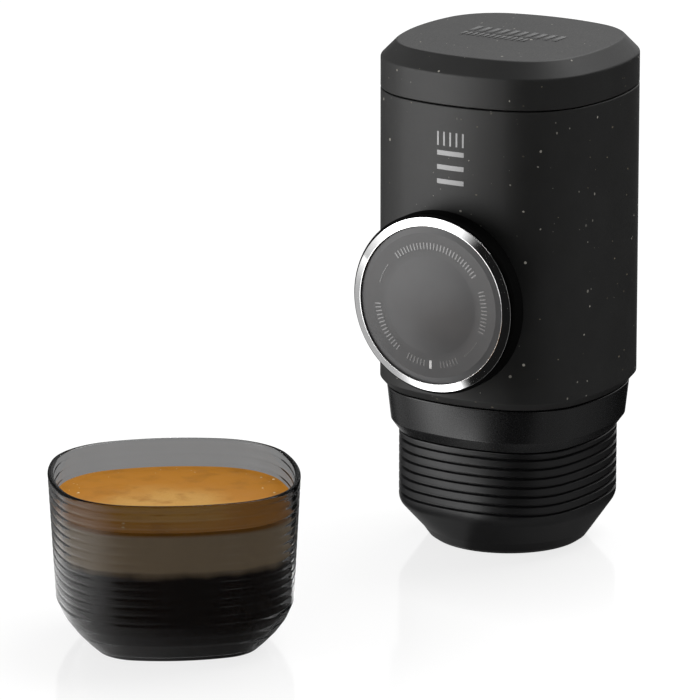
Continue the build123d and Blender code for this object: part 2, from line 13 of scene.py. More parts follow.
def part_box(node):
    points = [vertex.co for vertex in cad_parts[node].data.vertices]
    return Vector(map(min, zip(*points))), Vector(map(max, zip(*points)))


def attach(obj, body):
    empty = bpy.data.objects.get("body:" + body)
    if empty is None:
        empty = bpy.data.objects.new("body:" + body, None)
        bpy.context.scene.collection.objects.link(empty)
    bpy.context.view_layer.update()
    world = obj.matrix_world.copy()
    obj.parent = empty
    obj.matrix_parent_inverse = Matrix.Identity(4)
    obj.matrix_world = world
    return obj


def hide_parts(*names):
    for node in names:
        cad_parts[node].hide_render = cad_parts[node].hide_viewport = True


bl_info = {
    "name": "Handheld espresso maker",
    "version": (1, 0, 0),
    "blender": (4, 5, 0),
    "location": "3D View > Sidebar > Espresso",
    "description": "Builds the shells, finishes, drink and studio of a handheld espresso maker",
    "category": "Object",
}

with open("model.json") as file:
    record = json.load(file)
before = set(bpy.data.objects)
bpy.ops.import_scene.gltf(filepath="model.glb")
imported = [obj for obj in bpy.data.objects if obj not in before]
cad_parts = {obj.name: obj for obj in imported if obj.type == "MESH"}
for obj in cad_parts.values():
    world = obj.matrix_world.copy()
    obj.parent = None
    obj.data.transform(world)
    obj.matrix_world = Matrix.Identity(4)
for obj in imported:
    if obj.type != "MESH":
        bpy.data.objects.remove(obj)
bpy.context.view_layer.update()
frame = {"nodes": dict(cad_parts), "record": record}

MM = 0.001
IMAGE_SIZE = 700

# How many points make a curve, and how many rows of points a surface
SIDE_STEPS = 15
CORNER_STEPS = 24
ROUND_STEPS = 144
FILLET_STEPS = 5
BOWL_STEPS = 6
CROWN_STEPS = 24
FOAM_STEPS = 44
RIB_ROWS = 14
MARK_SLICES = 12

# The angle from which an edge is drawn sharp, and the gap under which points are merged
SHARP_ANGLE = radians(32)
MERGE = 0.002 * MM

# The smallest rounding that is made, the most of a straight that a rounding takes, and how
# far beyond its end a point keeps that straight flat
SMALLEST_FILLET = 0.001 * MM
FILLET_SHARE = 0.46
SUPPORT_SHARE = 0.3

# How deep a lug is sunk into its wall, and the rounding of its edges
LUG_ROOT = 0.4 * MM
LUG_EDGE = 0.15 * MM

# ---------------------------------------------------------------- properties


def length(name, description, millimetres):
    """A length whose default is given in millimetres."""
    return FloatProperty(
        name=name, description=description, default=millimetres * MM, precision=5, unit="LENGTH"
    )


def lengths(name, description, *millimetres):
    """Several lengths, given in millimetres."""
    values = [value * MM for value in millimetres]
    options = {"size": len(values), "precision": 5, "unit": "LENGTH"}
    return FloatVectorProperty(name=name, description=description, default=values, **options)


def angle(name, description, value):
    """An angle whose default is given in degrees."""
    return FloatProperty(
        name=name, description=description, default=radians(value), subtype="ANGLE"
    )


def share(name, description, value):
    """A number from 0 to 1."""
    return FloatProperty(
        name=name, description=description, default=value, min=0.0, max=1.0, subtype="FACTOR"
    )


def count(name, description, value):
    """A whole number."""
    return IntProperty(name=name, description=description, default=value, min=1)


def number(name, description, value):
    """A plain number."""
    return FloatProperty(name=name, description=description, default=value)


def colour(name, description, *value):
    """A colour, in linear values."""
    options = {"size": 3, "min": 0.0, "max": 1.0, "subtype": "COLOR"}
    return FloatVectorProperty(name=name, description=description, default=value, **options)


class PlanSizes(PropertyGroup):
    """Plan outline that the shells and the cup share."""

    half_flat: length("Half flat", "From the axis to the middle of a side", 31.0)
    side_radius: length("Side radius", "Bow of the four sides", 57.0)
    corner_radius: length("Corner radius", "Round of the four corners", 21.0)


class CasingSizes(PropertyGroup):
    """Speckled casing round the tank and the pump."""

    wall: length("Wall", "Thickness of the wall", 2.0)
    edge_height: length("Edge height", "Height of the chamfer at the bottom", 2.2)
    edge_inset: length("Edge inset", "How far the chamfer pulls in", 1.9)
    lip: length("Lip", "Width of the lip at the bottom beyond the chamfer", 2.2)
    lip_height: length("Lip height", "Height of that lip", 2.9)
    soft: length("Soft edge", "Rounding of the outer edges", 0.5)
    seam_soft: length("Seam edge", "Rounding of the edge at the seam", 0.3)
    pad_radius: length("Pad radius", "Radius of the flat pad behind the knob", 18.0)
    pad_edge: length("Pad edge", "Rounding of the pad's rim", 0.7)
    pad_root: length("Pad root", "How far the pad reaches back into the wall", 2.6)
    bush_gap: length("Bush gap", "Play between the pad's bore and the guide bush", 0.2)
    mark_height: length("Mark height", "Height of the mark's lowest bar", 99.9)
    bar_count: count("Mark bars", "Level bars of the mark", 3)
    bar_pitch: length("Bar pitch", "From bar to bar", 3.7)
    bar_size: lengths("Bar", "Width and height of a bar", 7.7, 1.25)
    tick_count: count("Mark ticks", "Ticks over the bars", 5)
    tick_pitch: length("Tick pitch", "From tick to tick", 1.8)
    tick_size: lengths("Tick", "Width and height of a tick", 0.5, 3.6)
    mark_proud: length("Mark proud", "How far the mark stands off the wall", 0.05)


class LidSizes(PropertyGroup):
    """Speckled lid over the tank."""

    wall: length("Wall", "Thickness of the skirt", 2.0)
    roof: length("Roof", "Thickness of the top", 2.0)
    edge_height: length("Edge height", "Height of the chamfer round the top", 4.2)
    edge_inset: length("Edge inset", "How far the chamfer pulls in", 4.0)
    soft: length("Soft edge", "Rounding of the chamfer's two edges", 0.9)
    seam_soft: length("Seam edge", "Rounding of the edge at the seam", 0.3)
    grip_count: count("Grip bars", "Raised bars in the long row on the top", 10)
    short_count: count("Short bars", "Raised bars in the short row", 12)
    grip_pitch: length("Grip pitch", "From bar to bar", 2.7)
    grip_width: length("Grip width", "Width of a bar", 1.5)
    grip_length: length("Grip length", "Length of a bar", 6.0)
    grip_proud: length("Grip height", "How far a bar stands up", 0.12)
    grip_back: length("Grip place", "How far behind the axis the long row lies", 3.6)
    short_size: share("Short bar size", "Size of a short bar beside a long one", 0.6)
    short_place: lengths("Short row", "From the long row's middle to the short one's", -3.51, -5.7)


class CollarSizes(PropertyGroup):
    """Smooth band under the casing."""

    edge_height: length("Edge height", "Height of the chamfer at the bottom", 2.9)
    low_inset: length("Low inset", "Inset of the wall above the chamfer", 2.8)
    high_inset: length("High inset", "Inset of the wall at the top", 1.8)
    foot_inset: length("Foot inset", "Inset of the bottom edge", 4.9)
    spigot_inset: length("Spigot inset", "Inset of the spigot inside the casing", 4.3)
    spigot_height: length("Spigot height", "Height of that spigot", 3.2)
    bore: length("Bore", "Radius of the room for the bayonet", 23.7)
    bore_height: length("Bore height", "Depth of that room", 8.0)
    ledge_bore: length("Ledge bore", "Radius of the hole over the capsule", 18.7)
    flange_bore: length("Flange bore", "Radius of the seat for the capsule holder", 20.7)
    flange_depth: length("Flange depth", "Depth of that seat", 2.0)
    soft: length("Soft edge", "Rounding of the outer edges", 0.55)
    small_soft: length("Small edge", "Rounding of the bottom edge and the top edge", 0.275)


class HeadSizes(PropertyGroup):
    """Ribbed outlet head with its bowl and foot."""

    inset: length("Inset", "Inset of the ribbed wall", 4.9)
    bowl_top: length("Bowl top", "Height where the bowl meets the ribbed wall", 10.3)
    wall_top: length("Wall top", "Height of the ribbed wall's top", 29.0)
    foot_radius: length("Foot radius", "Radius of the round foot where the bowl starts", 22.3)
    wall: length("Wall", "Thickness of the wall", 2.0)
    floor_level: length("Floor", "Level of the floor between the wall and the sleeve", 13.0)
    sleeve_outer: length("Sleeve radius", "Outer radius of the bayonet sleeve", 21.8)
    sleeve_inner: length("Sleeve bore", "Bore of the bayonet sleeve", 19.9)
    seat_level: length("Seat", "Level of the nozzle's seat", 7.0)
    seat_floor: length("Seat floor", "Thickness of the floor under the nozzle", 1.2)
    spout_hole: length("Spout hole", "Radius of the hole round the spout", 6.3)
    foot_bore: length("Foot bore", "Radius of the recess inside the foot", 12.0)
    foot_base: length("Foot base", "Radius of the face that the foot stands on", 19.3)
    foot_edge: lengths("Foot edge", "Radius and height of the foot's lower edge", 20.6, 0.9)
    foot_soft: lengths("Foot round", "Rounding of the foot's two lower edges", 0.3, 0.6)
    rim_soft: length("Rim round", "Rounding of the wall's top edge", 0.35)
    soft: length("Soft edge", "How far the bowl's rounded edge reaches", 1.6)
    groove_count: count("Grooves", "Grooves round the wall", 7)
    groove_pitch: length("Groove pitch", "From groove to groove", 2.45)
    groove_width: length("Groove width", "Width of a groove", 0.9)
    groove_depth: length("Groove depth", "Depth of a groove", 0.8)
    groove_edge: length("Groove edge", "Width of a groove's rounded flank", 0.38)
    groove_top: length("First groove", "From the wall's top down to the first groove", 1.2)
    lug_count: count("Lugs", "Bayonet lugs on the sleeve", 4)
    lug_width: length("Lug width", "Width of a lug", 6.4)
    lug_height: length("Lug height", "Height of a lug", 2.0)
    lug_proud: length("Lug reach", "How far a lug stands off the sleeve", 1.5)
    lug_drop: length("Lug drop", "From the sleeve's top down to a lug", 0.7)


class KnobSizes(PropertyGroup):
    """Piston knob: dished body, metal ring and face disc."""

    depth: length("Depth", "From the ring's seat back to the knob's back", 5.2)
    web: length("Web", "Thickness of the dish's floor", 2.0)
    edge: length("Edge", "Rounding of the body's edges", 0.9)
    pivot: length("Pivot", "Radius of the hole for the rod", 2.65)
    boss: length("Boss", "Outer radius of the boss", 8.0)
    boss_bore: length("Boss bore", "Bore of the boss", 6.6)
    boss_soft: length("Boss edge", "Rounding of the boss's end", 0.2)
    lug_reach: length("Lug reach", "Radius of the boss's two lugs", 9.8)
    lug_width: length("Lug width", "Width of those lugs", 5.0)
    lug_length: length("Lug length", "Length of those lugs along the axis", 2.5)
    dish: length("Dish", "Radius of the dish", 18.5)
    ring_inner: length("Ring bore", "Inner radius of the metal ring", 20.5)
    ring_height: length("Ring height", "Height of the ring's outer edge", 0.8)
    ring_lip: length("Ring lip", "Width of the ring's flat inner lip", 0.12)
    ring_soft: length("Ring edge", "Rounding of the ring's edges", 0.11)
    disc_gap: length("Disc gap", "Play between the disc and the ring", 0.05)
    disc_edge: lengths("Disc edge", "Width and depth of the disc's sloping rim", 1.7, 0.45)
    disc_soft: length("Disc round", "Rounding of that rim", 0.25)
    disc_spigot: length("Disc spigot", "Depth of the disc's spigot in the dish", 1.6)
    spigot_gap: length("Spigot gap", "Play between that spigot and the dish", 0.2)
    crown_radius: length("Crown radius", "Radius of the disc's gently raised middle", 13.0)
    crown: length("Crown", "How far that middle stands up", 0.95)
    crown_border: length("Crown border", "Flat border round the raised middle", 1.2)
    tick_radius: length("Tick radius", "Radius of the circle of ticks", 15.4)
    tick_length: length("Tick length", "Length of a tick", 1.7)
    tick_width: length("Tick width", "Width of a tick", 0.3)
    tick_proud: length("Tick height", "How far a tick stands up", 0.06)
    tick_step: angle("Tick step", "From tick to tick", 3.6)


class CupSizes(PropertyGroup):
    """Ribbed smoke-clear cup."""

    turn: angle("Turn", "How far the cup is turned on the table", 36.5)
    wall: length("Wall", "Thickness of the wall", 1.4)
    floor: length("Floor", "Thickness of the floor", 1.5)
    bowl_heights: lengths("Bowl heights", "Heights of the bowl's bends", 0.0, 2.0, 4.8, 7.8, 11.0)
    bowl_insets: lengths("Bowl insets", "Insets at those bends", 10.3, 8.1, 5.4, 3.2, 1.75)
    bowl_soft: length("Bowl round", "Rounding of the bends", 6.0)
    base_soft: length("Base round", "Rounding of the base's edge", 0.9)
    rim_soft: length("Rim round", "Rounding of the rim", 0.6)
    rim_band: length("Rim band", "Plain band from the last row of ribs to the rim", 1.2)
    groove_count: count("Grooves", "Grooves round the wall", 14)
    groove_pitch: length("Groove pitch", "From groove to groove", 2.2)
    groove_width: length("Groove width", "Width of a groove", 1.3)
    groove_depth: length("Groove depth", "Depth of a groove", 0.13)
    groove_edge: length("Groove edge", "Width of a groove's rounded flank", 0.64)
    groove_low: length("First groove", "Height of the lowest groove", 11.2)


class DrinkSizes(PropertyGroup):
    """Coffee and its foam in the cup."""

    below_rim: length("Level", "From the cup's rim down to the foam", 7.4)
    foam: length("Foam", "Depth of the foam at the wall", 10.5)
    gap: length("Gap", "Between the drink and the cup's wall", 0.06)
    meniscus: length("Meniscus", "How far the foam climbs at the wall", 0.35)
    swell: length("Swell", "Height of the foam's gentle waves", 0.25)
    wave: length("Wave", "Width of those waves", 7.0)
    bubble_low: length("Smallest bubble", "Radius of the smallest bubbles", 0.12)
    bubble_high: length("Largest bubble", "Radius of the largest bubbles", 0.42)
    bubble_density: number("Bubbles", "Bubbles in a square metre of foam", 90000.0)
    bubble_flat: share("Bubble height", "Height of a bubble beside its width", 0.5)
    bubble_seed: IntProperty(name="Seed", description="Seed of the bubbles' places", default=7)


class FinishColours(PropertyGroup):
    """Colours of the finishes."""

    shell: colour("Shell", "Speckled casing and lid", 0.017, 0.017, 0.0165)
    speck: colour("Speck", "Pale specks in the shell", 0.60, 0.57, 0.50)
    flake: colour("Flake", "Brown specks in the shell", 0.36, 0.31, 0.22)
    band: colour("Band", "Smooth collar", 0.008, 0.008, 0.0085)
    head: colour("Head", "Ribbed outlet head", 0.008, 0.008, 0.0085)
    skirt: colour("Skirt", "Knob body", 0.003, 0.003, 0.003)
    metal: colour("Metal", "Bright knob ring", 0.88, 0.88, 0.88)
    disc: colour("Disc", "Knob face", 0.112, 0.112, 0.114)
    ink: colour("Ink", "Marks on the casing and the knob", 0.17, 0.17, 0.17)
    bright_ink: colour("Bright ink", "Broad mark of the knob", 0.5, 0.5, 0.5)
    smoke: colour("Smoke", "Tint of the clear cup", 0.20, 0.20, 0.20)
    crema: colour("Crema", "Orange foam", 0.62, 0.25, 0.022)
    crema_pale: colour("Pale crema", "Middle of the foam", 0.76, 0.42, 0.10)
    crema_side: colour("Crema side", "Foam where it meets the wall", 0.88, 0.66, 0.42)
    # The bubbles' pale colour is partly their own and partly a painted highlight on them
    bubble: colour("Bubble", "Bubbles on the foam", 0.85, 0.66, 0.34)
    coffee: colour("Coffee", "Coffee under the foam", 0.02, 0.011, 0.006)
    frame_grey: colour("Frame", "Pump frame and tank lid", 0.05, 0.05, 0.052)
    tank: colour("Tank", "Inner tank", 0.09, 0.09, 0.095)
    rubber: colour("Rubber", "Seals", 0.30, 0.29, 0.28)
    steel: colour("Steel", "Screws, springs, balls and plates", 0.56, 0.56, 0.57)
    brass: colour("Brass", "Turned brass pieces", 0.62, 0.42, 0.16)
    holder: colour("Holder", "Capsule holder", 0.50, 0.50, 0.52)


class StudioSizes(PropertyGroup):
    """Camera, lights and floor."""

    azimuth: angle("Azimuth", "Camera's turn round the maker", 30.4)
    pitch: angle("Pitch", "Camera's height above the horizon", 15.0)
    distance: length("Distance", "From the camera to the maker's middle", 1700.0)
    focal: number("Focal length", "Focal length in pixels of the image", 6606.0)
    maker_x: number("Maker across", "Pixel column of the maker's middle", 509.0)
    maker_y: number("Maker down", "Pixel row of the maker's middle", 289.9)
    maker_height: length("Maker's middle", "Height of that middle", 65.0)
    white: number("White", "Strength of the background", 1.0)
    fill: number("Fill", "Light that comes from all round", 0.24)
    dim: share("Dim", "What mirror rays see on the unlit side", 0.009)


class MakerSettings(PropertyGroup):
    """All sizes and colours of the espresso maker."""

    plan: PointerProperty(type=PlanSizes)
    casing: PointerProperty(type=CasingSizes)
    lid: PointerProperty(type=LidSizes)
    collar: PointerProperty(type=CollarSizes)
    head: PointerProperty(type=HeadSizes)
    knob: PointerProperty(type=KnobSizes)
    cup: PointerProperty(type=CupSizes)
    drink: PointerProperty(type=DrinkSizes)
    colours: PointerProperty(type=FinishColours)
    studio: PointerProperty(type=StudioSizes)


# ---------------------------------------------------------------- meshes


class Outline:
    """The plan outline: four bowed sides joined by tangent corner arcs, as columns of points."""

    def __init__(self, plan, centre=(0.0, 0.0), turn=0.0):
        self.spin = Matrix.Translation((*centre, 0.0)) @ Matrix.Rotation(turn, 4, "Z")
        offset = plan.side_radius - plan.half_flat
        reach = 2 * (plan.side_radius - plan.corner_radius) ** 2 - offset**2
        corner = (sqrt(reach) - offset) / 2
        meet = atan2(corner, corner + offset)
        arcs = (
            (Vector((-offset, 0)), plan.side_radius, -meet, 2 * meet, SIDE_STEPS),
            (Vector((corner, corner)), plan.corner_radius, meet, pi / 2 - 2 * meet, CORNER_STEPS),
        )
        self.columns = []
        for quarter in range(4):
            start = quarter * pi / 2
            for centre, radius, first, sweep, steps in arcs:
                middle = Matrix.Rotation(start, 2) @ centre
                for step in range(steps):
                    heading = start + first + sweep * step / steps
                    self.columns.append((middle, radius, heading))

    def row(self, inset, height):
        """Points on the outline moved inwards by inset."""
        return [
            self.spin @ Vector((m.x + (r - inset) * cos(a), m.y + (r - inset) * sin(a), height))
            for m, r, a in self.columns
        ]

    def ring(self, radius, height):
        """Points on a circle, one for each column."""
        return [
            self.spin @ Vector((radius * cos(a), radius * sin(a), height))
            for _, _, a in self.columns
        ]

    def rows(self, section):
        """Rows through the (inset, height) points of a section."""
        return [self.row(*point) for point in section]

    def rings(self, section):
        """Circles through the (radius, height) points of a section."""
        return [self.ring(*point) for point in section]

    def outward(self):
        """Outward direction of each column."""
        return [self.spin.to_3x3() @ Vector((cos(a), sin(a), 0)) for _, _, a in self.columns]


def soften(corners, closed=False):
    """Section through (across, height, rounding) corners, each rounded by its own radius."""
    points = []
    total = len(corners)
    for i, (across, height, rounding) in enumerate(corners):
        here = Vector((across, height))
        at_end = not closed and i in (0, total - 1)
        if rounding <= 0 or at_end:
            points.append(here)
            continue
        back = Vector(corners[i - 1][:2]) - here
        ahead = Vector(corners[(i + 1) % total][:2]) - here
        half = back.angle(ahead) / 2
        reach = min(rounding / tan(half), FILLET_SHARE * min(back.length, ahead.length))
        if reach < SMALLEST_FILLET:
            points.append(here)
            continue
        middle = here + (back.normalized() + ahead.normalized()).normalized() * (reach / cos(half))
        first = here + back.normalized() * reach - middle
        last = here + ahead.normalized() * reach - middle
        points.append(middle + first + support(back, reach))
        for step in range(FILLET_STEPS + 1):
            spoke = first.slerp(last, step / FILLET_STEPS).normalized()
            points.append(middle + spoke * first.length)
        points.append(middle + last + support(ahead, reach))
    return points


def support(way, reach):
    """Step from a rounding's end along its straight neighbour, which keeps that neighbour flat."""
    return way.normalized() * SUPPORT_SHARE * min(reach, way.length - reach)


def rounded(first, corner, last, reach):
    """Rows of points that round the corner row, on the way from the first row to the last."""
    rows = []
    for step in range(BOWL_STEPS + 1):
        t = step / BOWL_STEPS
        row = []
        for before, here, after in zip(first, corner, last):
            start = here + (before - here).normalized() * reach
            end = here + (after - here).normalized() * reach
            row.append(start.lerp(here, t).lerp(here.lerp(end, t), t))
        rows.append(row)
    return rows


def loft(name, rows, closed=False, ends=True):
    """Mesh through rows of as many points each: a ring if closed, else with its ends filled."""
    width = len(rows[0])
    points = [tuple(p) for row in rows for p in row]
    faces = []
    for r in range(len(rows) if closed else len(rows) - 1):
        low, high = r * width, (r + 1) % len(rows) * width
        for c in range(width):
            across = (c + 1) % width
            faces.append((low + c, low + across, high + across, high + c))
    if ends and not closed:
        last = (len(rows) - 1) * width
        faces += [tuple(reversed(range(width))), tuple(range(last, last + width))]
    mesh = bpy.data.meshes.new(name)
    mesh.from_pydata(points, [], faces)
    return mesh


def ribbed(outline, rows, first, last, closed=False):
    """Mesh of rows, where the rows from first to last carry their outward direction."""
    mesh = loft("ribbed", rows, closed=closed)
    outward = [value for heading in outline.outward() for value in heading]
    plain = [0.0] * len(outward)
    values = []
    for number in range(len(rows)):
        values += outward if first <= number <= last else plain
    layer = mesh.attributes.new("outward", "FLOAT_VECTOR", "POINT")
    layer.data.foreach_set("vector", values)
    return mesh


def tidy(mesh):
    """Merges doubles, points the faces outwards and marks the sharp edges of a mesh."""
    work = bmesh.new()
    work.from_mesh(mesh)
    bmesh.ops.remove_doubles(work, verts=work.verts, dist=MERGE)
    bmesh.ops.recalc_face_normals(work, faces=work.faces)
    for face in work.faces:
        face.smooth = True
    work.to_mesh(mesh)
    work.free()
    mesh.set_sharp_from_angle(angle=SHARP_ANGLE)
    return mesh


def mesh_from(name, work):
    """New mesh of a bmesh, which is freed."""
    made = bpy.data.meshes.new(name)
    work.to_mesh(made)
    work.free()
    return made


def joined(name, meshes):
    """One mesh of several."""
    work = bmesh.new()
    for mesh in meshes:
        work.from_mesh(mesh)
    return mesh_from(name, work)


def box_mesh(name, size, edge=0.0, slices=1):
    """Box of that size about the origin, with its edges rounded and cut into slices along X."""
    work = bmesh.new()
    bmesh.ops.create_cube(work, size=1.0)
    bmesh.ops.scale(work, vec=size, verts=work.verts)
    for cut in range(1, slices):
        bmesh.ops.bisect_plane(
            work,
            geom=list(work.verts) + list(work.edges) + list(work.faces),
            plane_co=(size[0] * (cut / slices - 0.5), 0.0, 0.0),
            plane_no=(1.0, 0.0, 0.0),
        )
    if edge:
        edges = list(work.edges)
        bmesh.ops.bevel(work, geom=edges, offset=edge, segments=2, profile=0.5, affect="EDGES")
    return mesh_from(name, work)


def new_object(name, mesh, material=None):
    """Object at the origin that shows the mesh."""
    made = bpy.data.objects.new(name, mesh)
    bpy.context.scene.collection.objects.link(made)
    if material is not None:
        mesh.materials.clear()
        mesh.materials.append(material)
    return made


def hand_over(piece, body, slot, *nodes):
    """The piece rides on the body and stands for the nodes, which are hidden; the slot is not used.
    """
    tidy(piece.data)
    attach(piece, body)
    if nodes:
        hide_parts(*nodes)


def carve(piece, tool, operation):
    """Cuts the tool object out of the piece, or joins it on, and removes the tool."""
    modifier = piece.modifiers.new("carve", "BOOLEAN")
    modifier.operation = operation
    modifier.solver = "EXACT"
    modifier.object = tool
    bake_modifiers(piece)
    bpy.data.objects.remove(tool)


def bake_modifiers(piece):
    """Turns the piece, as its modifiers make it, into a plain mesh."""
    depsgraph = bpy.context.evaluated_depsgraph_get()
    made = bpy.data.meshes.new_from_object(piece.evaluated_get(depsgraph), depsgraph=depsgraph)
    piece.modifiers.clear()
    piece.data = made


# ---------------------------------------------------------------- nodes


def add_node(tree, kind, inputs=(), **settings):
    """Adds a node; inputs pairs a socket's name or number with a value or another socket."""
    made = tree.nodes.new(kind)
    for key, value in settings.items():
        setattr(made, key, value)
    for key, value in dict(inputs).items():
        if isinstance(value, bpy.types.NodeSocket):
            tree.links.new(value, made.inputs[key])
        else:
            made.inputs[key].default_value = value
    return made


def feed(node, **sockets):
    """Links sockets to the inputs of a node, by their names."""
    for key, value in sockets.items():
        node.id_data.links.new(value, node.inputs[key.replace("_", " ")])


def add_math(tree, operation, first, second=0.0, third=0.0):
    """Result of a Math node."""
    values = {0: first, 1: second, 2: third}
    return add_node(tree, "ShaderNodeMath", values, operation=operation).outputs[0]


def add_vector(tree, operation, *values):
    """Result of a Vector Math node, where the second value of SCALE is its number."""
    keys = (0, "Scale") if operation == "SCALE" else (0, 1, 2)
    made = add_node(tree, "ShaderNodeVectorMath", zip(keys, values), operation=operation)
    return made.outputs["Value" if operation in ("LENGTH", "DISTANCE") else "Vector"]


def spread(tree, value, low, high, to_low, to_high, kind="LINEAR"):
    """Maps a value from one range to another and keeps it within."""
    ends = {"Value": value, "From Min": low, "From Max": high, "To Min": to_low, "To Max": to_high}
    return add_node(tree, "ShaderNodeMapRange", ends, interpolation_type=kind).outputs[0]


def smooth_step(tree, value, low, high):
    """0 at low, 1 at high and smooth between, as a socket."""
    return spread(tree, value, low, high, 0.0, 1.0, "SMOOTHSTEP")


def between(tree, part, first, second):
    """The first value where part is 0, the second where it is 1."""
    return spread(tree, part, 0.0, 1.0, first, second)


def set_copies(tree, points, shape, **inputs):
    """Instances of a shape on points."""
    values = {"Points": points, "Instance": shape} | inputs
    return add_node(tree, "GeometryNodeInstanceOnPoints", values).outputs[0]


def press_grooves(tree, given):
    """Presses evenly spaced grooves into a wall, along its attribute 'outward'."""
    place = add_node(tree, "GeometryNodeInputPosition").outputs[0]
    height = add_node(tree, "ShaderNodeSeparateXYZ", {0: place}).outputs["Z"]
    above = add_math(tree, "SUBTRACT", height, given["First groove"])
    turns = add_math(tree, "DIVIDE", above, given["Pitch"])
    index = add_math(tree, "FLOOR", turns)
    within = add_math(tree, "MULTIPLY", add_math(tree, "FRACT", turns), given["Pitch"])
    far_flank = add_math(tree, "SUBTRACT", given["Width"], given["Flank"])
    last = add_math(tree, "SUBTRACT", given["Grooves"], 0.5)
    depth = add_math(tree, "MULTIPLY", given["Depth"], -1.0)
    for part in (
        smooth_step(tree, within, 0.0, given["Flank"]),
        smooth_step(tree, within, given["Width"], far_flank),
        add_math(tree, "GREATER_THAN", index, -0.5),
        add_math(tree, "LESS_THAN", index, last),
    ):
        depth = add_math(tree, "MULTIPLY", depth, part)
    name = {"Name": "outward"}
    outward = add_node(tree, "GeometryNodeInputNamedAttribute", name, data_type="FLOAT_VECTOR")
    shift = add_vector(tree, "SCALE", outward.outputs[0], depth)
    values = {"Geometry": given["Geometry"], "Offset": shift}
    return add_node(tree, "GeometryNodeSetPosition", values).outputs[0]


def copies_on_an_arc(tree, given):
    """Sets copies of the given mesh on an arc about Z, then turns and moves them all."""
    index = add_node(tree, "GeometryNodeInputIndex").outputs[0]
    heading = add_math(tree, "MULTIPLY_ADD", index, given["Step"], given["Start"])
    across = add_math(tree, "MULTIPLY", add_math(tree, "COSINE", heading), given["Radius"])
    along = add_math(tree, "MULTIPLY", add_math(tree, "SINE", heading), given["Radius"])
    place = add_node(tree, "ShaderNodeCombineXYZ", {"X": across, "Y": along}).outputs[0]
    points = add_node(tree, "GeometryNodePoints", {"Count": given["Copies"], "Position": place})
    spin = add_node(tree, "ShaderNodeCombineXYZ", {"Z": heading}).outputs[0]
    copies = set_copies(tree, points.outputs[0], given["Geometry"], Rotation=spin)
    values = {"Geometry": copies, "Translation": given["Place"], "Rotation": given["Turn"]}
    return add_node(tree, "GeometryNodeTransform", values).outputs[0]


def copies_in_a_row(tree, given):
    """Sets copies of the given mesh in a straight row, centred on a place."""
    gaps = add_math(tree, "SUBTRACT", given["Copies"], 1.0)
    back = add_vector(tree, "SCALE", given["Pitch"], add_math(tree, "MULTIPLY", gaps, -0.5))
    begin = add_vector(tree, "ADD", back, given["Place"])
    values = {"Count": given["Copies"], "Start Location": begin, "Offset": given["Pitch"]}
    line = add_node(tree, "GeometryNodeMeshLine", values).outputs[0]
    return set_copies(tree, line, given["Geometry"])


# The power that makes large bubbles rare, and the ball that each of them starts as
BUBBLE_RARITY = 4.0
BUBBLE_BALL = {"Segments": 10, "Rings": 6, "Radius": 1.0}


def scatter_bubbles(tree, given):
    """Scatters bubbles, most of them small, over the given surface where its 'rim' is high."""
    rim = add_node(tree, "GeometryNodeInputNamedAttribute", {"Name": "rim"}, data_type="FLOAT")
    density = add_math(tree, "MULTIPLY", rim.outputs[0], given["Density"])
    values = {"Mesh": given["Geometry"], "Density": density, "Seed": given["Seed"]}
    points = add_node(tree, "GeometryNodeDistributePointsOnFaces", values).outputs["Points"]
    chance = add_node(tree, "FunctionNodeRandomValue", {"Seed": given["Seed"]}, data_type="FLOAT")
    rare = add_math(tree, "POWER", chance.outputs[1], BUBBLE_RARITY)
    size = between(tree, rare, given["Smallest"], given["Largest"])
    low = add_math(tree, "MULTIPLY", size, given["Flatness"])
    shape = add_node(tree, "ShaderNodeCombineXYZ", {"X": size, "Y": size, "Z": low}).outputs[0]
    ball = add_node(tree, "GeometryNodeMeshUVSphere", BUBBLE_BALL)
    return set_copies(tree, points, ball.outputs["Mesh"], Scale=shape)


# Each tree's function and its named inputs, by kind
TREES = {
    "Grooves": (
        press_grooves,
        {"Float": ("First groove", "Pitch", "Width", "Depth", "Flank"), "Int": ("Grooves",)},
    ),
    "Copies on an arc": (
        copies_on_an_arc,
        {"Int": ("Copies",), "Float": ("Radius", "Start", "Step"), "Vector": ("Turn", "Place")},
    ),
    "Copies in a row": (copies_in_a_row, {"Int": ("Copies",), "Vector": ("Pitch", "Place")}),
    "Bubbles": (
        scatter_bubbles,
        {"Float": ("Density", "Smallest", "Largest", "Flatness"), "Int": ("Seed",)},
    ),
}


def tree_named(name):
    """Geometry Nodes tree of that name, made when it is first asked for."""
    known = bpy.data.node_groups.get(name)
    if known:
        return known
    build, inputs = TREES[name]
    tree = bpy.data.node_groups.new(name, "GeometryNodeTree")
    new_socket = tree.interface.new_socket
    new_socket("Geometry", in_out="INPUT", socket_type="NodeSocketGeometry")
    for kind, labels in inputs.items():
        for label in labels:
            new_socket(label, in_out="INPUT", socket_type="NodeSocket" + kind)
    new_socket("Material", in_out="INPUT", socket_type="NodeSocketMaterial")
    new_socket("Geometry", in_out="OUTPUT", socket_type="NodeSocketGeometry")
    given = tree.nodes.new("NodeGroupInput").outputs
    solid = add_node(tree, "GeometryNodeRealizeInstances", {"Geometry": build(tree, given)})
    values = {"Geometry": solid.outputs[0], "Material": given["Material"]}
    painted = add_node(tree, "GeometryNodeSetMaterial", values)
    feed(tree.nodes.new("NodeGroupOutput"), Geometry=painted.outputs[0])
    return tree


def run_tree(piece, name, values):
    """Runs the tree of that name on the piece with the named values and keeps a plain mesh."""
    modifier = piece.modifiers.new(name, "NODES")
    modifier.node_group = tree_named(name)
    for socket in modifier.node_group.interface.items_tree:
        if socket.in_out == "INPUT" and socket.name in values:
            modifier[socket.identifier] = values[socket.name]
    bake_modifiers(piece)


# ---------------------------------------------------------------- finishes

# Where most values of a fine noise and of a cloudy one lie
FINE = (0.25, 0.75)
CLOUD = (0.3, 0.7)

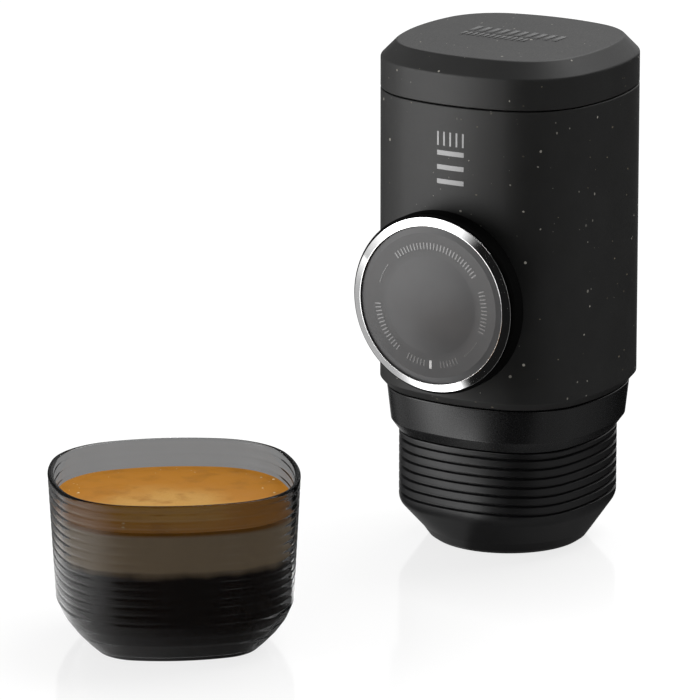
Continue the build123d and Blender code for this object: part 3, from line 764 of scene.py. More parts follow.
# Grain of the brush marks on metal and of the turning marks on the knob's face
BRUSH_GRAIN = 0.25 * MM
TURNING_GRAIN = 0.12 * MM

# Layers of specks in the shell: cell that holds one speck, stretch and largest radius, how
# far their outlines wander, how soft they are and how strongly they show
SPECK_LAYERS = (
    (3.3 * MM, (1.0, 1.0, 1.0), 0.43 * MM, "speck"),
    (3.9 * MM, (1.0, 1.0, 1.5), 0.38 * MM, "flake"),
    (2.8 * MM, (1.2, 1.0, 0.8), 0.31 * MM, "speck"),
)
SPECK_WANDER = 0.35 * MM
SPECK_SOFT = 0.08 * MM
SPECK_RARITY = 1.6
SPECK_SHOWS = (0.15, 0.9)

# The cup's plastic: how it bends light, how much soft light it lets through to what is in
# and behind it, and the share of plain refraction beside its gloss
CLEAR_IOR = 1.46
CLEAR_SHADOW = 0.85
CLEAR_MIX = 0.7

# The foam's swirl, its pale middle and that middle's reach, the streaks in it, and the
# depths over which the foam turns pale at the wall and ends over the coffee
FOAM_SWIRL = (12 * MM, 12 * MM, 0.0)
PALE_MIDDLE = (8 * MM, 0.0, 0.0)
PALE_REACH = (22 * MM, 8 * MM)
STREAK_SHADE = 0.78
STREAKS = (0.5, 0.72, 0.0, 0.8)
WALL_PALE = (-0.2 * MM, -0.8 * MM)
FOAM_END = 1.2 * MM
FOAM_UNEVEN = 0.4 * MM


def grey(value):
    """Grey with full alpha."""
    return (value, value, value, 1.0)


def new_finish(colour, roughness, **sockets):
    """Material with one Principled shader; sockets sets its other values by name."""
    made = bpy.data.materials.new("finish")
    made.use_nodes = True
    tree = made.node_tree
    shader = tree.nodes["Principled BSDF"]
    values = {"Base Color": (*colour, 1.0), "Roughness": roughness} | sockets
    for key, value in values.items():
        shader.inputs[key.replace("_", " ")].default_value = value
    place = add_node(tree, "ShaderNodeTexCoord").outputs["Object"]
    return made, tree, shader, place


def mix_colour(tree, factor, first, second):
    """Mix of two colours, which may be sockets or plain colours."""
    values = [v if isinstance(v, bpy.types.NodeSocket) else (*v, 1.0) for v in (first, second)]
    inputs = dict(zip((0, 6, 7), (factor, *values)))
    return add_node(tree, "ShaderNodeMix", inputs, data_type="RGBA").outputs[2]


def mix_shaders(tree, factor, first, second):
    """Mix of two shaders."""
    return add_node(tree, "ShaderNodeMixShader", {0: factor, 1: first, 2: second}).outputs[0]


def noise_node(tree, place, grain, detail):
    """Noise whose lumps are about as large as the grain: its value and its colour."""
    values = {"Vector": place, "Scale": 1.0 / grain, "Detail": detail}
    return add_node(tree, "ShaderNodeTexNoise", values).outputs


def add_noise(tree, place, grain, detail=3.0):
    """Value of a noise whose lumps are about as large as the grain."""
    return noise_node(tree, place, grain, detail)[0]


def clouded(tree, place, colour, grain, vary, detail=3.0):
    """The colour, lighter and darker by up to vary in slow clouds."""
    cloud = add_noise(tree, place, grain, detail)
    shade = spread(tree, cloud, *CLOUD, 1.0 - vary, 1.0 + vary)
    return add_vector(tree, "SCALE", colour, shade)


def glossed(tree, fine, roughness, vary):
    """The roughness, more and less by up to vary with a fine noise."""
    return spread(tree, fine, *FINE, roughness * (1.0 - vary), roughness * (1.0 + vary))


def across_axis(tree, place, axes):
    """Distance from an axis through the origin, where axes is 1 for the directions that count."""
    return add_vector(tree, "LENGTH", add_vector(tree, "MULTIPLY", place, axes))


def add_bump(tree, shader, height, depth):
    """Bump of that depth on the shader."""
    values = {"Height": height, "Distance": depth, "Strength": 1.0}
    feed(shader, Normal=add_node(tree, "ShaderNodeBump", values).outputs[0])


def moulded(colour, roughness, grain=0.35 * MM, depth=0.006 * MM, vary=0.12, **sockets):
    """Moulded plastic: a fine grain, slight cloudiness and uneven gloss."""
    made, tree, shader, place = new_finish(colour, roughness, **sockets)
    fine = add_noise(tree, place, grain)
    paint = clouded(tree, place, colour, 14 * MM, vary)
    feed(shader, Base_Color=paint, Roughness=glossed(tree, fine, roughness, 0.12))
    add_bump(tree, shader, fine, depth)
    return made


def specks(tree, place, cell, stretch, largest):
    """Scattered specks, one in each cell at most: how much of a speck is here, and its chance."""
    shaped = add_node(tree, "ShaderNodeMapping", {"Vector": place, "Scale": stretch}).outputs[0]
    cells = add_node(tree, "ShaderNodeTexVoronoi", {"Vector": shaped, "Scale": 1.0 / cell}).outputs
    chance = add_node(tree, "ShaderNodeSeparateColor", {0: cells["Color"]}).outputs
    size = add_math(tree, "POWER", chance[0], SPECK_RARITY)
    radius = between(tree, size, 0.0, largest / cell)
    inside = add_math(tree, "SUBTRACT", radius, cells["Distance"])
    return spread(tree, inside, 0.0, SPECK_SOFT / cell, 0.0, 1.0), chance[1]


def speckled_finish(colours):
    """Charcoal plastic with pale and brown coffee-husk specks."""
    made, tree, shader, place = new_finish(colours.shell, 0.5, Specular_IOR_Level=0.42)
    wobble = noise_node(tree, place, 0.9 * MM, 1.0)["Color"]
    shaken = add_vector(tree, "MULTIPLY_ADD", wobble, (SPECK_WANDER,) * 3, place)
    paint = clouded(tree, place, colours.shell, 9 * MM, 0.12)
    for cell, stretch, largest, tone in SPECK_LAYERS:
        here, chance = specks(tree, shaken, cell, stretch, largest)
        amount = add_math(tree, "MULTIPLY", here, between(tree, chance, *SPECK_SHOWS))
        paint = mix_colour(tree, amount, paint, getattr(colours, tone))
    fine = add_noise(tree, place, 0.32 * MM)
    feed(shader, Base_Color=paint, Roughness=glossed(tree, fine, 0.5, 0.12))
    add_bump(tree, shader, fine, 0.008 * MM)
    return made


def metal(colour, roughness, stretch=(1.0, 1.0, 1.0)):
    """Metal with fine brush or polish marks."""
    made, tree, shader, place = new_finish(colour, roughness, Metallic=1.0)
    shaped = add_node(tree, "ShaderNodeMapping", {"Vector": place, "Scale": stretch}).outputs[0]
    fine = add_noise(tree, shaped, BRUSH_GRAIN)
    paint = add_vector(tree, "SCALE", colour, spread(tree, fine, 0.2, 0.8, 0.94, 1.06))
    feed(shader, Base_Color=paint, Roughness=glossed(tree, fine, roughness, 0.3))
    return made


def disc_finish(colours):
    """Satin face of the knob, with fine turning marks about the knob's axis."""
    made, tree, shader, place = new_finish(colours.disc, 0.36, Specular_IOR_Level=0.4)
    from_centre = add_vector(tree, "SUBTRACT", place, knob_centre())
    radius = across_axis(tree, from_centre, (1.0, 0.0, 1.0))
    values = {"W": radius, "Scale": 1.0 / TURNING_GRAIN}
    rings = add_node(tree, "ShaderNodeTexNoise", values, noise_dimensions="1D").outputs[0]
    paint = clouded(tree, place, colours.disc, 8 * MM, 0.05, detail=2.0)
    feed(shader, Base_Color=paint, Roughness=spread(tree, rings, *FINE, 0.32, 0.42))
    add_bump(tree, shader, rings, 0.0015 * MM)
    return made


def smoke_finish(colours):
    """Smoke-grey clear plastic that lets tinted light through to what is in and behind it."""
    glass = {"IOR": CLEAR_IOR, "Transmission_Weight": 1.0}
    made, tree, shader, place = new_finish(colours.smoke, 0.06, **glass)
    paint = clouded(tree, place, colours.smoke, 6 * MM, 0.05, detail=2.0)
    fine = add_noise(tree, place, 2 * MM, 2.0)
    feed(shader, Base_Color=paint, Roughness=spread(tree, fine, *FINE, 0.055, 0.075))
    passed = (*(sqrt(c) for c in colours.smoke), 1.0)
    values = {"Color": passed, "Roughness": 0.04, "IOR": CLEAR_IOR}
    plain = add_node(tree, "ShaderNodeBsdfRefraction", values).outputs[0]
    clear = add_node(tree, "ShaderNodeBsdfTransparent", {0: grey(CLEAR_SHADOW)}).outputs[0]
    path = add_node(tree, "ShaderNodeLightPath").outputs
    through = add_math(tree, "MAXIMUM", path["Is Shadow Ray"], path["Is Diffuse Ray"])
    softer = mix_shaders(tree, CLEAR_MIX, shader.outputs[0], plain)
    mixed = mix_shaders(tree, through, softer, clear)
    feed(tree.nodes["Material Output"], Surface=mixed)
    return made


def drink_finish(colours, centre, level, foam):
    """Orange foam with a pale middle, paler where it meets the wall, over near-black coffee."""
    made, tree, shader, place = new_finish(colours.crema, 0.45, Specular_IOR_Level=0.1)
    made.name = "drink"
    from_centre = add_vector(tree, "ADD", place, (-centre.x, -centre.y, -level))
    wander = noise_node(tree, place, 8 * MM, 4.0)["Color"]
    swirled = add_vector(tree, "MULTIPLY_ADD", wander, FOAM_SWIRL, from_centre)
    off_middle = add_vector(tree, "SUBTRACT", swirled, PALE_MIDDLE)
    radius = across_axis(tree, off_middle, (1.0, 1.0, 0.0))
    froth = add_noise(tree, place, 0.5 * MM)
    pale = smooth_step(tree, radius, *PALE_REACH)
    pale = add_math(tree, "MULTIPLY", pale, spread(tree, froth, *CLOUD, 0.7, 1.0))
    paint = mix_colour(tree, pale, colours.crema, colours.crema_pale)
    patchy = add_noise(tree, place, 6 * MM)
    streak = tuple(STREAK_SHADE * c for c in colours.crema)
    paint = mix_colour(tree, spread(tree, patchy, *STREAKS), paint, streak)
    depth = add_node(tree, "ShaderNodeSeparateXYZ", {0: from_centre}).outputs["Z"]
    side = spread(tree, depth, *WALL_PALE, 0.0, 1.0)
    paint = mix_colour(tree, side, paint, colours.crema_side)
    shift = spread(tree, patchy, *CLOUD, -FOAM_UNEVEN, FOAM_UNEVEN)
    uneven = add_math(tree, "ADD", depth, shift)
    sunk = spread(tree, uneven, FOAM_END - foam, -FOAM_END - foam, 0.0, 1.0)
    feed(shader, Base_Color=mix_colour(tree, sunk, paint, colours.coffee))
    calm = add_math(tree, "SUBTRACT", 1.0, side)
    add_bump(tree, shader, add_math(tree, "MULTIPLY", froth, calm), 0.02 * MM)
    return made


FINISHES = {
    "band": lambda c: moulded(c.band, 0.27, depth=0.0004 * MM),
    "ribbed_head": lambda c: moulded(c.head, 0.36, depth=0.0012 * MM),
    "foot": lambda c: moulded(c.head, 0.42),
    "knob_skirt": lambda c: moulded(c.skirt, 0.6, Specular_IOR_Level=0.02),
    "knob_metal": lambda c: metal(c.metal, 0.08),
    "knob_face": disc_finish,
    "speckled_shell": speckled_finish,
    "smoke_cup": smoke_finish,
    "frame_plastic": lambda c: moulded(c.frame_grey, 0.5),
    "tank_plastic": lambda c: moulded(c.tank, 0.35, vary=0.05),
    "seal": lambda c: moulded(c.rubber, 0.62, grain=0.6 * MM),
    "steel": lambda c: metal(c.steel, 0.28, stretch=(1.0, 1.0, 0.15)),
    "brass": lambda c: metal(c.brass, 0.3, stretch=(1.0, 0.15, 1.0)),
    "holder": lambda c: metal(c.holder, 0.38),
    "ink": lambda c: metal(c.ink, 0.4),
    "bright_ink": lambda c: metal(c.bright_ink, 0.4),
    # Pale partly as the bubbles' own colour and partly as a painted highlight
    "bubble": lambda c: moulded(c.bubble, 0.12, vary=0.2),
}


def finish(name):
    """The finish of that name, made when it is first asked for."""
    known = bpy.data.materials.get("finish_" + name)
    if known:
        return known
    made = FINISHES[name](bpy.context.scene.espresso_maker.colours)
    made.name = "finish_" + name
    return made


# ---------------------------------------------------------------- places read from the frame


def knob_centre():
    """Point on the knob's axis in the maker's own axis plane."""
    low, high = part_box("knob_body")
    return Vector(((low.x + high.x) / 2, 0.0, (low.z + high.z) / 2))


def knob_rows(section):
    """Circles about the knob's axis through (radius, distance from the maker's axis) points."""
    centre = knob_centre()
    turns = [2 * pi * i / ROUND_STEPS for i in range(ROUND_STEPS)]
    return [
        [Vector((centre.x + radius * cos(a), -out, centre.z + radius * sin(a))) for a in turns]
        for radius, out in section
    ]


def cup_centre():
    """Centre of the cup's base."""
    low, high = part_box("cup")
    return Vector(((low.x + high.x) / 2, (low.y + high.y) / 2, low.z))


def face_knob(out):
    """Turn and place that set an arc about Z on the knob's axis, out from the maker's axis."""
    place = knob_centre() - Vector((0.0, out, 0.0))
    return {"Turn": Vector((pi / 2, 0.0, 0.0)), "Place": place}


def wall_front(plan, across):
    """Y of the casing's front wall at a distance across from its middle."""
    offset = plan.side_radius - plan.half_flat
    return offset - sqrt(plan.side_radius**2 - across**2)


# ---------------------------------------------------------------- maker


def build_casing(made):
    """Casing wall with its chamfered foot, the flat pad behind the knob and the bore through it."""
    size, outline = made.casing, Outline(made.plan)
    low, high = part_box("casing")
    face = -low.y
    deck = low.z + size.lip_height
    lip = size.edge_inset + size.lip
    section = [
        (size.edge_inset, low.z, size.soft),
        (0.0, low.z + size.edge_height, size.soft),
        (0.0, high.z, size.seam_soft),
        (size.wall, high.z, 0.0),
        (size.wall, deck, 0.0),
        (lip, deck, 0.0),
        (lip, low.z, 0.0),
    ]
    rows = outline.rows(soften(section, closed=True))
    casing = new_object("casing_shell", tidy(loft("casing", rows, closed=True)))
    pad = [
        (size.pad_radius, made.plan.half_flat - size.pad_root, 0.0),
        (size.pad_radius, face, size.pad_edge),
        (size.pad_radius - 4 * size.pad_edge, face, 0.0),
    ]
    carve(casing, new_object("pad", tidy(loft("pad", knob_rows(soften(pad))))), "UNION")
    bush_low, bush_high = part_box("guide_bush")
    bore = (bush_high.x - bush_low.x) / 2 + size.bush_gap
    hole = knob_rows([(bore, made.plan.half_flat - 4 * size.wall), (bore, face + size.wall)])
    carve(casing, new_object("hole", tidy(loft("hole", hole))), "DIFFERENCE")
    casing.data.materials.clear()
    casing.data.materials.append(finish("speckled_shell"))
    hand_over(casing, "main_body", "speckled_shell", "casing")
    build_casing_mark(made)


def build_casing_mark(made):
    """Plain level mark on the casing's front: a row of ticks a bar's height over some bars."""
    size = made.casing
    bar_high, tick_high = size.bar_size[1], size.tick_size[1]
    tall = (size.bar_count - 1) * size.bar_pitch
    bars = size.mark_height + tall / 2
    ticks = size.mark_height + tall + 1.5 * bar_high + tick_high / 2
    meshes = []
    for (wide, high), copies, pitch, level in (
        (size.tick_size, size.tick_count, (size.tick_pitch, 0.0, 0.0), ticks),
        (size.bar_size, size.bar_count, (0.0, 0.0, size.bar_pitch), bars),
    ):
        shape = (wide, 2 * size.mark_proud, high)
        bar = new_object("bar", box_mesh("bar", shape, slices=MARK_SLICES))
        place = Vector((0.0, 0.0, level))
        values = {"Copies": copies, "Pitch": Vector(pitch), "Place": place}
        run_tree(bar, "Copies in a row", values | {"Material": finish("ink")})
        meshes.append(bar.data)
        bpy.data.objects.remove(bar)
    mesh = joined("casing_mark", meshes)
    for point in mesh.vertices:
        point.co.y += wall_front(made.plan, point.co.x)
    hand_over(new_object("casing_mark", mesh, finish("ink")), "main_body", "knob_metal")


def build_lid(made):
    """Lid shell with its chamfer, and two rows of low grip bars on its top."""
    size, outline = made.lid, Outline(made.plan)
    low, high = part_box("cap_shell")
    top = high.z - size.grip_proud
    edge = high.z - size.edge_height
    section = [
        (size.wall + size.edge_inset, high.z - size.roof, 0.0),
        (size.wall, edge - size.roof / 2, 0.0),
        (size.wall, low.z, 0.0),
        (0.0, low.z, size.seam_soft),
        (0.0, edge, size.soft),
        (size.edge_inset, top, size.soft),
        (size.edge_inset + 3 * size.soft, top, 0.0),
    ]
    mesh = loft("lid", outline.rows(soften(section)))
    lid = new_object("lid_shell", mesh, finish("speckled_shell"))
    hand_over(lid, "lid", "speckled_shell", "cap_shell")
    long_row = (1.0, size.grip_count, (0.0, 0.0))
    short_row = (size.short_size, size.short_count, size.short_place)
    for number, (scale, copies, (across, back)) in enumerate((long_row, short_row)):
        bar = (scale * size.grip_width, scale * size.grip_length, 2 * size.grip_proud)
        bars = new_object(f"lid_grip_{number}", box_mesh("grip", bar, edge=size.grip_proud / 2))
        values = {
            "Copies": copies,
            "Pitch": Vector((scale * size.grip_pitch, 0.0, 0.0)),
            "Place": Vector((across, size.grip_back + back, top)),
            "Material": finish("band"),
        }
        run_tree(bars, "Copies in a row", values)
        hand_over(bars, "lid", "band")


def build_collar(made):
    """Smooth band with its chamfer, its spigot and the room for the bayonet."""
    size, outline = made.collar, Outline(made.plan)
    low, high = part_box("collar_band")
    top = high.z - size.spigot_height
    lead = 1.0 * MM  # only gives the bottom corner and the top one their direction
    outside = [
        (size.foot_inset + lead, low.z, 0.0),
        (size.foot_inset, low.z, size.small_soft),
        (size.low_inset, low.z + size.edge_height, size.soft),
        (size.high_inset, top, size.small_soft),
        (size.spigot_inset, top, 0.0),
        (size.spigot_inset, high.z, 0.0),
        (size.spigot_inset + lead, high.z, 0.0),
    ]
    ledge = low.z + size.bore_height
    bores = [
        (size.flange_bore, high.z),
        (size.flange_bore, high.z - size.flange_depth),
        (size.ledge_bore, high.z - size.flange_depth),
        (size.ledge_bore, ledge),
        (size.bore, ledge),
        (size.bore, low.z),
    ]
    rows = outline.rows(soften(outside)[1:-1]) + outline.rings(bores)
    collar = new_object("collar", loft("collar", rows, closed=True), finish("band"))
    hand_over(collar, "main_body", "band", "collar_band")


def rib_heights(size, low, top):
    """Heights of the rows over all the grooves, up to a top."""
    steps = size.groove_count * RIB_ROWS
    heights = [low + size.groove_pitch * i / RIB_ROWS for i in range(steps)]
    return [z for z in heights if z < top]


def cut_grooves(piece, size, low, material):
    """Runs the groove tree over a ribbed piece, from its lowest groove up."""
    values = {
        "First groove": low,
        "Pitch": size.groove_pitch,
        "Width": size.groove_width,
        "Depth": size.groove_depth,
        "Flank": size.groove_edge,
        "Grooves": size.groove_count,
        "Material": material,
    }
    run_tree(piece, "Grooves", values)
    piece.data.attributes.remove(piece.data.attributes["outward"])


def build_head(made):
    """Ribbed outlet head with its bowl and sleeve, its bayonet lugs and its foot."""
    size, outline = made.head, Outline(made.plan)
    low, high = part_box("outlet_shell")
    last = size.wall_top - size.groove_top
    first = last - (size.groove_count - 1) * size.groove_pitch - size.groove_width
    heights = rib_heights(size, first, last + MERGE)
    foot = outline.ring(size.foot_radius, low.z)
    corner = outline.row(size.inset, size.bowl_top)
    rows = [foot] + rounded(foot, corner, outline.row(size.inset, first), size.soft)
    start = len(rows)
    rows += [outline.row(size.inset, z) for z in heights]
    end = len(rows) - 1
    rim = [
        (size.inset, heights[-1], 0.0),
        (size.inset, size.wall_top, size.rim_soft),
        (size.inset + size.wall, size.wall_top, 0.0),
        (size.inset + size.wall, size.floor_level, 0.0),
    ]
    inside = [
        (size.sleeve_outer, size.floor_level),
        (size.sleeve_outer, high.z),
        (size.sleeve_inner, high.z),
        (size.sleeve_inner, size.seat_level),
        (size.spout_hole, size.seat_level),
        (size.spout_hole, size.seat_level - size.seat_floor),
        (size.foot_bore, size.seat_level - size.seat_floor),
        (size.foot_bore, low.z),
    ]
    rows += outline.rows(soften(rim)[1:]) + outline.rings(inside)
    head = new_object("ribbed_head", ribbed(outline, rows, start, end, closed=True))
    cut_grooves(head, size, first, finish("ribbed_head"))
    hand_over(head, "outlet_head", "ribbed_head", "outlet_shell")
    shape = (size.lug_proud + LUG_ROOT, size.lug_width, size.lug_height)
    lugs = new_object("bayonet_lugs", box_mesh("lug", shape, edge=LUG_EDGE))
    level = high.z - size.lug_drop - size.lug_height / 2
    values = {"Place": Vector((0.0, 0.0, level)), "Material": finish("ribbed_head")}
    set_lugs(lugs, size.lug_count, size.sleeve_outer, size.lug_proud, values)
    hand_over(lugs, "outlet_head", "ribbed_head", "outlet_shell")
    build_foot(size, outline)


def set_lugs(lugs, copies, radius, proud, values):
    """Sets copies of a lug evenly round a wall of that radius, that far proud of it."""
    middle = radius + (proud - LUG_ROOT) / 2
    values |= {"Copies": copies, "Radius": middle, "Step": 2 * pi / copies}
    run_tree(lugs, "Copies on an arc", values)


def build_foot(size, outline):
    """Ring that the maker stands on."""
    low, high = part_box("foot_ring")
    base_soft, edge_soft = size.foot_soft
    section = [
        (size.foot_bore, high.z, 0.0),
        (size.foot_bore, low.z, 0.0),
        (size.foot_base, low.z, base_soft),
        (*size.foot_edge, edge_soft),
        (size.foot_radius, high.z, 0.0),
    ]
    rows = outline.rings(soften(section))
    foot = new_object("foot", loft("foot", rows, closed=True), finish("foot"))
    hand_over(foot, "outlet_head", "foot", "foot_ring")


def build_knob(made):
    """Knob body with its boss and lugs, the conical metal ring, the face disc and its ticks."""
    size = made.knob
    low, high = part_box("knob_body")
    radius = (high.x - low.x) / 2
    seat, boss_end = -low.y, -high.y
    back = seat - size.depth
    dish = [
        (size.pivot, back, 0.0),
        (size.boss_bore, back, 0.0),
        (size.boss_bore, boss_end, 0.0),
        (size.boss, boss_end, size.boss_soft),
        (size.boss, back, 0.0),
        (radius, back, size.edge),
        (radius, seat, size.edge / 2),
        (size.dish, seat, 0.0),
        (size.dish, back + size.web, 0.0),
        (size.pivot, back + size.web, 0.0),
    ]
    build_knob_ring("knob_skirt", dish, "knob_skirt", "knob_body")
    build_boss_lugs(size, boss_end)
    low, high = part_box("knob_ring")
    outer, lip = (high.x - low.x) / 2, -low.y
    ring = [
        (size.ring_inner, seat, 0.0),
        (outer, seat, 0.0),
        (outer, seat + size.ring_height, size.ring_soft),
        (size.ring_inner + size.ring_lip, lip, size.ring_soft),
        (size.ring_inner, lip, size.ring_soft / 2),
    ]
    build_knob_ring("metal_ring", ring, "knob_metal", "knob_ring")
    build_disc(size, seat, -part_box("knob_disc")[0].y)


def build_knob_ring(name, section, slot, node):
    """Turned piece of the knob with a hole in its middle."""
    mesh = loft(name, knob_rows(soften(section, closed=True)), closed=True)
    hand_over(new_object(name, mesh, finish(slot)), "knob", slot, node)


def build_boss_lugs(size, boss_end):
    """Two lugs of the boss that lock behind the guide bush."""
    proud = size.lug_reach - size.boss
    shape = (proud + LUG_ROOT, size.lug_width, size.lug_length)
    lugs = new_object("boss_lugs", box_mesh("lug", shape, edge=LUG_EDGE))
    values = face_knob(boss_end + size.lug_length / 2) | {"Material": finish("knob_skirt")}
    set_lugs(lugs, 2, size.boss, proud, values)
    hand_over(lugs, "knob", "knob_skirt", "knob_body")


def build_disc(size, seat, face):
    """Face disc with its gently crowned middle."""
    radius = size.ring_inner - size.disc_gap
    spigot = size.dish - size.spigot_gap
    rim, drop = size.disc_edge
    section = [
        (spigot, seat - size.disc_spigot, 0.0),
        (spigot, seat, 0.0),
        (radius, seat, 0.0),
        (radius, face - drop, size.disc_soft),
        (radius - rim, face, size.disc_soft),
        (size.crown_radius + size.crown_border, face, 0.0),
    ]
    points = soften(section)
    for i in range(CROWN_STEPS):
        part = 1 - i / CROWN_STEPS
        points.append((size.crown_radius * part, face + size.crown * (1 - part**2)))
    disc = new_object("face_disc", loft("face_disc", knob_rows(points)), finish("knob_face"))
    hand_over(disc, "knob", "knob_face", "knob_disc")
    build_ticks(size, face)


# Where each arc of ticks and each thin dash starts, in degrees, and how many marks it has; a
# dash is a run of marks that overlap
TICK_ARCS = ((130, 27), (20, 12), (232, 14), (263, 6), (299, 6))
DASH_ARCS = ((163, 10), (328, 10))
DASH_STEP = radians(2.0)
DASH_PIECE = radians(2.6)

# Width of a dash beside a tick's, and length, width and place of the broad bar
DASH_WIDTH = 0.7
BAR_LENGTH = 1.25
BAR_WIDTH = 2.2
BAR_PLACE = 270


def build_ticks(size, face):
    """Arcs of plain ticks, two thin dashes and one broad bar, raised on the disc."""
    tick = (size.tick_length, size.tick_width)
    dash = (DASH_WIDTH * size.tick_width, size.tick_radius * DASH_PIECE)
    bar = (BAR_LENGTH * size.tick_length, BAR_WIDTH * size.tick_width)
    groups = [(*arc, tick, size.tick_step) for arc in TICK_ARCS]
    groups += [(*arc, dash, DASH_STEP) for arc in DASH_ARCS]
    meshes = []
    for group in groups:
        mark = tick_arc(size, face, *group, "ink")
        meshes.append(mark.data)
        bpy.data.objects.remove(mark)
    ticks = new_object("dial_ticks", joined("dial_ticks", meshes), finish("ink"))
    hand_over(ticks, "knob", "knob_metal")
    pointer = tick_arc(size, face, BAR_PLACE, 1, bar, 0.0, "bright_ink")
    hand_over(pointer, "knob", "knob_metal")


def tick_arc(size, face, start, copies, shape, step, paint):
    """Copies of one mark on the disc's circle of ticks, from a starting angle in degrees."""
    mark = new_object("dial_pointer", box_mesh("dial_pointer", (*shape, 2 * size.tick_proud)))
    values = {"Copies": copies, "Radius": size.tick_radius, "Start": radians(start)}
    values |= face_knob(face) | {"Step": -step, "Material": finish(paint)}
    run_tree(mark, "Copies on an arc", values)
    return mark


# ---------------------------------------------------------------- cup and drink


def cup_wall_inset(size, top, height):
    """Inset of the cup's outer wall above the bowl."""
    last = size.bowl_heights[-1]
    return size.bowl_insets[-1] * (top - height) / (top - last)


def cup_inside(size, top, gap=0.0):
    """Section of the bowl's inside, from the floor up, a gap within its surface."""
    levels = [*zip(size.bowl_heights, size.bowl_insets), (top, 0.0)]
    base, thick = size.floor + gap, size.wall + gap
    moved = []
    for low, here, high in zip(levels, levels[1:], levels[2:]):
        rise, pull = high[0] - low[0], low[1] - high[1]
        slant = sqrt(rise**2 + pull**2)
        moved.append((here[1] + thick * rise / slant, here[0] + thick * pull / slant))
    (inset, z), (inset_next, z_next) = moved[:2]
    edge = inset + (inset - inset_next) / (z_next - z) * (z - base)
    bends = [(*point, size.bowl_soft) for point in moved]
    return [(edge + 2 * size.base_soft, base, 0.0), (edge, base, size.base_soft), *bends]


def build_cup(made):
    """Smoke-clear cup, one closed wall with pressed grooves."""
    size = made.cup
    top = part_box("cup")[1].z
    outline = Outline(made.plan, cup_centre().xy, size.turn)
    (base, base_height), *bends = zip(size.bowl_insets, size.bowl_heights)
    outside = [
        (base + 2 * size.base_soft, 0.0, 0.0),
        (base, base_height, size.base_soft),
        *((*point, size.bowl_soft) for point in bends),
        (cup_wall_inset(size, top, size.groove_low), size.groove_low, 0.0),
    ]
    rows = outline.rows(soften(outside)[:-1])
    start = len(rows)
    heights = rib_heights(size, size.groove_low, top - size.rim_band)
    rows += [outline.row(cup_wall_inset(size, top, z), z) for z in heights]
    end = len(rows) - 1
    rest = [
        (cup_wall_inset(size, top, heights[-1]), heights[-1], 0.0),
        (0.0, top, size.rim_soft),
        (size.wall, top, size.rim_soft),
        *reversed(cup_inside(size, top)),
    ]
    rows += outline.rows(soften(rest)[1:])
    cup = new_object("smoke_cup", ribbed(outline, rows, start, end))
    cut_grooves(cup, size, size.groove_low, finish("smoke_cup"))
    hand_over(cup, "cup", "smoke_cup", "cup")


# How soon, per radius, the foam's climb ends and its waves begin, and the rows with bubbles
CLIMB_END = 26
WAVE_START = 12
BUBBLE_ROWS = 9


def build_drink(made):
    """Coffee with its foam, which fills the cup, and the bubbles near the wall."""
    size, cup = made.drink, made.cup
    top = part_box("cup")[1].z
    centre = cup_centre()
    outline = Outline(made.plan, centre.xy, cup.turn)
    level = top - size.below_rim
    wall = cup_wall_inset(cup, top, level) + cup.wall + size.gap
    side = soften([*cup_inside(cup, top, size.gap), (wall, level + size.meniscus, 0.0)])
    rows = outline.rows(side)
    middle = Vector((centre.x, centre.y, level))
    for i in range(1, FOAM_STEPS):
        inwards = i / FOAM_STEPS
        climb = size.meniscus * max(0.0, 1 - inwards * CLIMB_END)
        calm = min(1.0, inwards * WAVE_START)
        row = []
        for point in rows[len(side) - 1]:
            place = middle.lerp(Vector((point.x, point.y, level)), 1 - inwards)
            wave = noise.noise(place / size.wave) * calm
            place.z = level + climb + wave * size.swell
            row.append(place)
        rows.append(row)
    paint = drink_finish(made.colours, centre, level, size.foam)
    drink = new_object("drink", loft("drink", rows), paint)
    hand_over(drink, "cup", "smoke_cup")
    build_bubbles(size, rows[len(side):])


def build_bubbles(size, rows):
    """Small bubbles over the foam, most of them near the wall."""
    mesh = loft("bubbles", rows, ends=False)
    near = [max(0.0, 1 - r / BUBBLE_ROWS) for r in range(len(rows)) for _ in rows[r]]
    layer = mesh.attributes.new("rim", "FLOAT", "POINT")
    layer.data.foreach_set("value", near)
    bubbles = new_object("bubbles", mesh)
    values = {
        "Density": size.bubble_density,
        "Smallest": size.bubble_low,
        "Largest": size.bubble_high,
        "Flatness": size.bubble_flat,
        "Seed": size.bubble_seed,
        "Material": finish("bubble"),
    }
    run_tree(bubbles, "Bubbles", values)
    hand_over(bubbles, "cup", "smoke_cup")


# ---------------------------------------------------------------- inner pieces


def finish_inner_pieces():
    """Gives each CAD node the finish of its material slot."""
    for row in frame["record"]["subparts"]:
        node = frame["nodes"][row["node"]]
        paint = finish(row["material_slot"])
        if not node.material_slots:
            node.data.materials.append(paint)
        for slot in node.material_slots:
            slot.material = paint


# ---------------------------------------------------------------- studio

# How bright mirror rays see the wall and the floor, by azimuth in degrees from the knob's side:
# the level, where the light starts, where it is full, where it fades and where it ends
WALL_LIGHTS = (
    (0.55, -135, -95, -60, -40),
    (1.8, -70, -45, -19, -1),
    (0.3, 42, 62, 78, 98),
    (0.75, 135, 160, 181, 182),
    (0.75, -182, -181, -150, -125),
)
# Painted light: the floor glows for mirror rays in these windows, though it is no lamp, and so
# lights the reflections in the maker and the cup
PAINTED_FLOOR_LIGHTS = (
    (0.45, -125, -95, -66, -50),
    (0.6, -181, -172, -142, -126),
    (2.6, -76, -56, -30, 2),
    (1.7, -50, -36, -30, -6),
    (0.25, 60, 85, 118, 165),
)

# The heights, from 0 level to 1 straight up, between which the wall's light ends, and the
# point in front of the maker from which the floor's azimuths count
WALL_TOP = (0.55, 0.9)
FLOOR_MIDDLE = (0.0, -45 * MM, 0.0)

# The floor: how far it lies under the maker, its corners, its grey for matt light, its own
# glow and its grey for the light that shadows fall in
FLOOR_DROP = 0.1 * MM
FLOOR_HALF = 4.0
FLOOR_CORNERS = ((-1, -1), (1, -1), (1, 1), (-1, 1))
FLOOR_MATT = 0.8
FLOOR_GLOW = 0.9
FLOOR_SHADED = 0.22

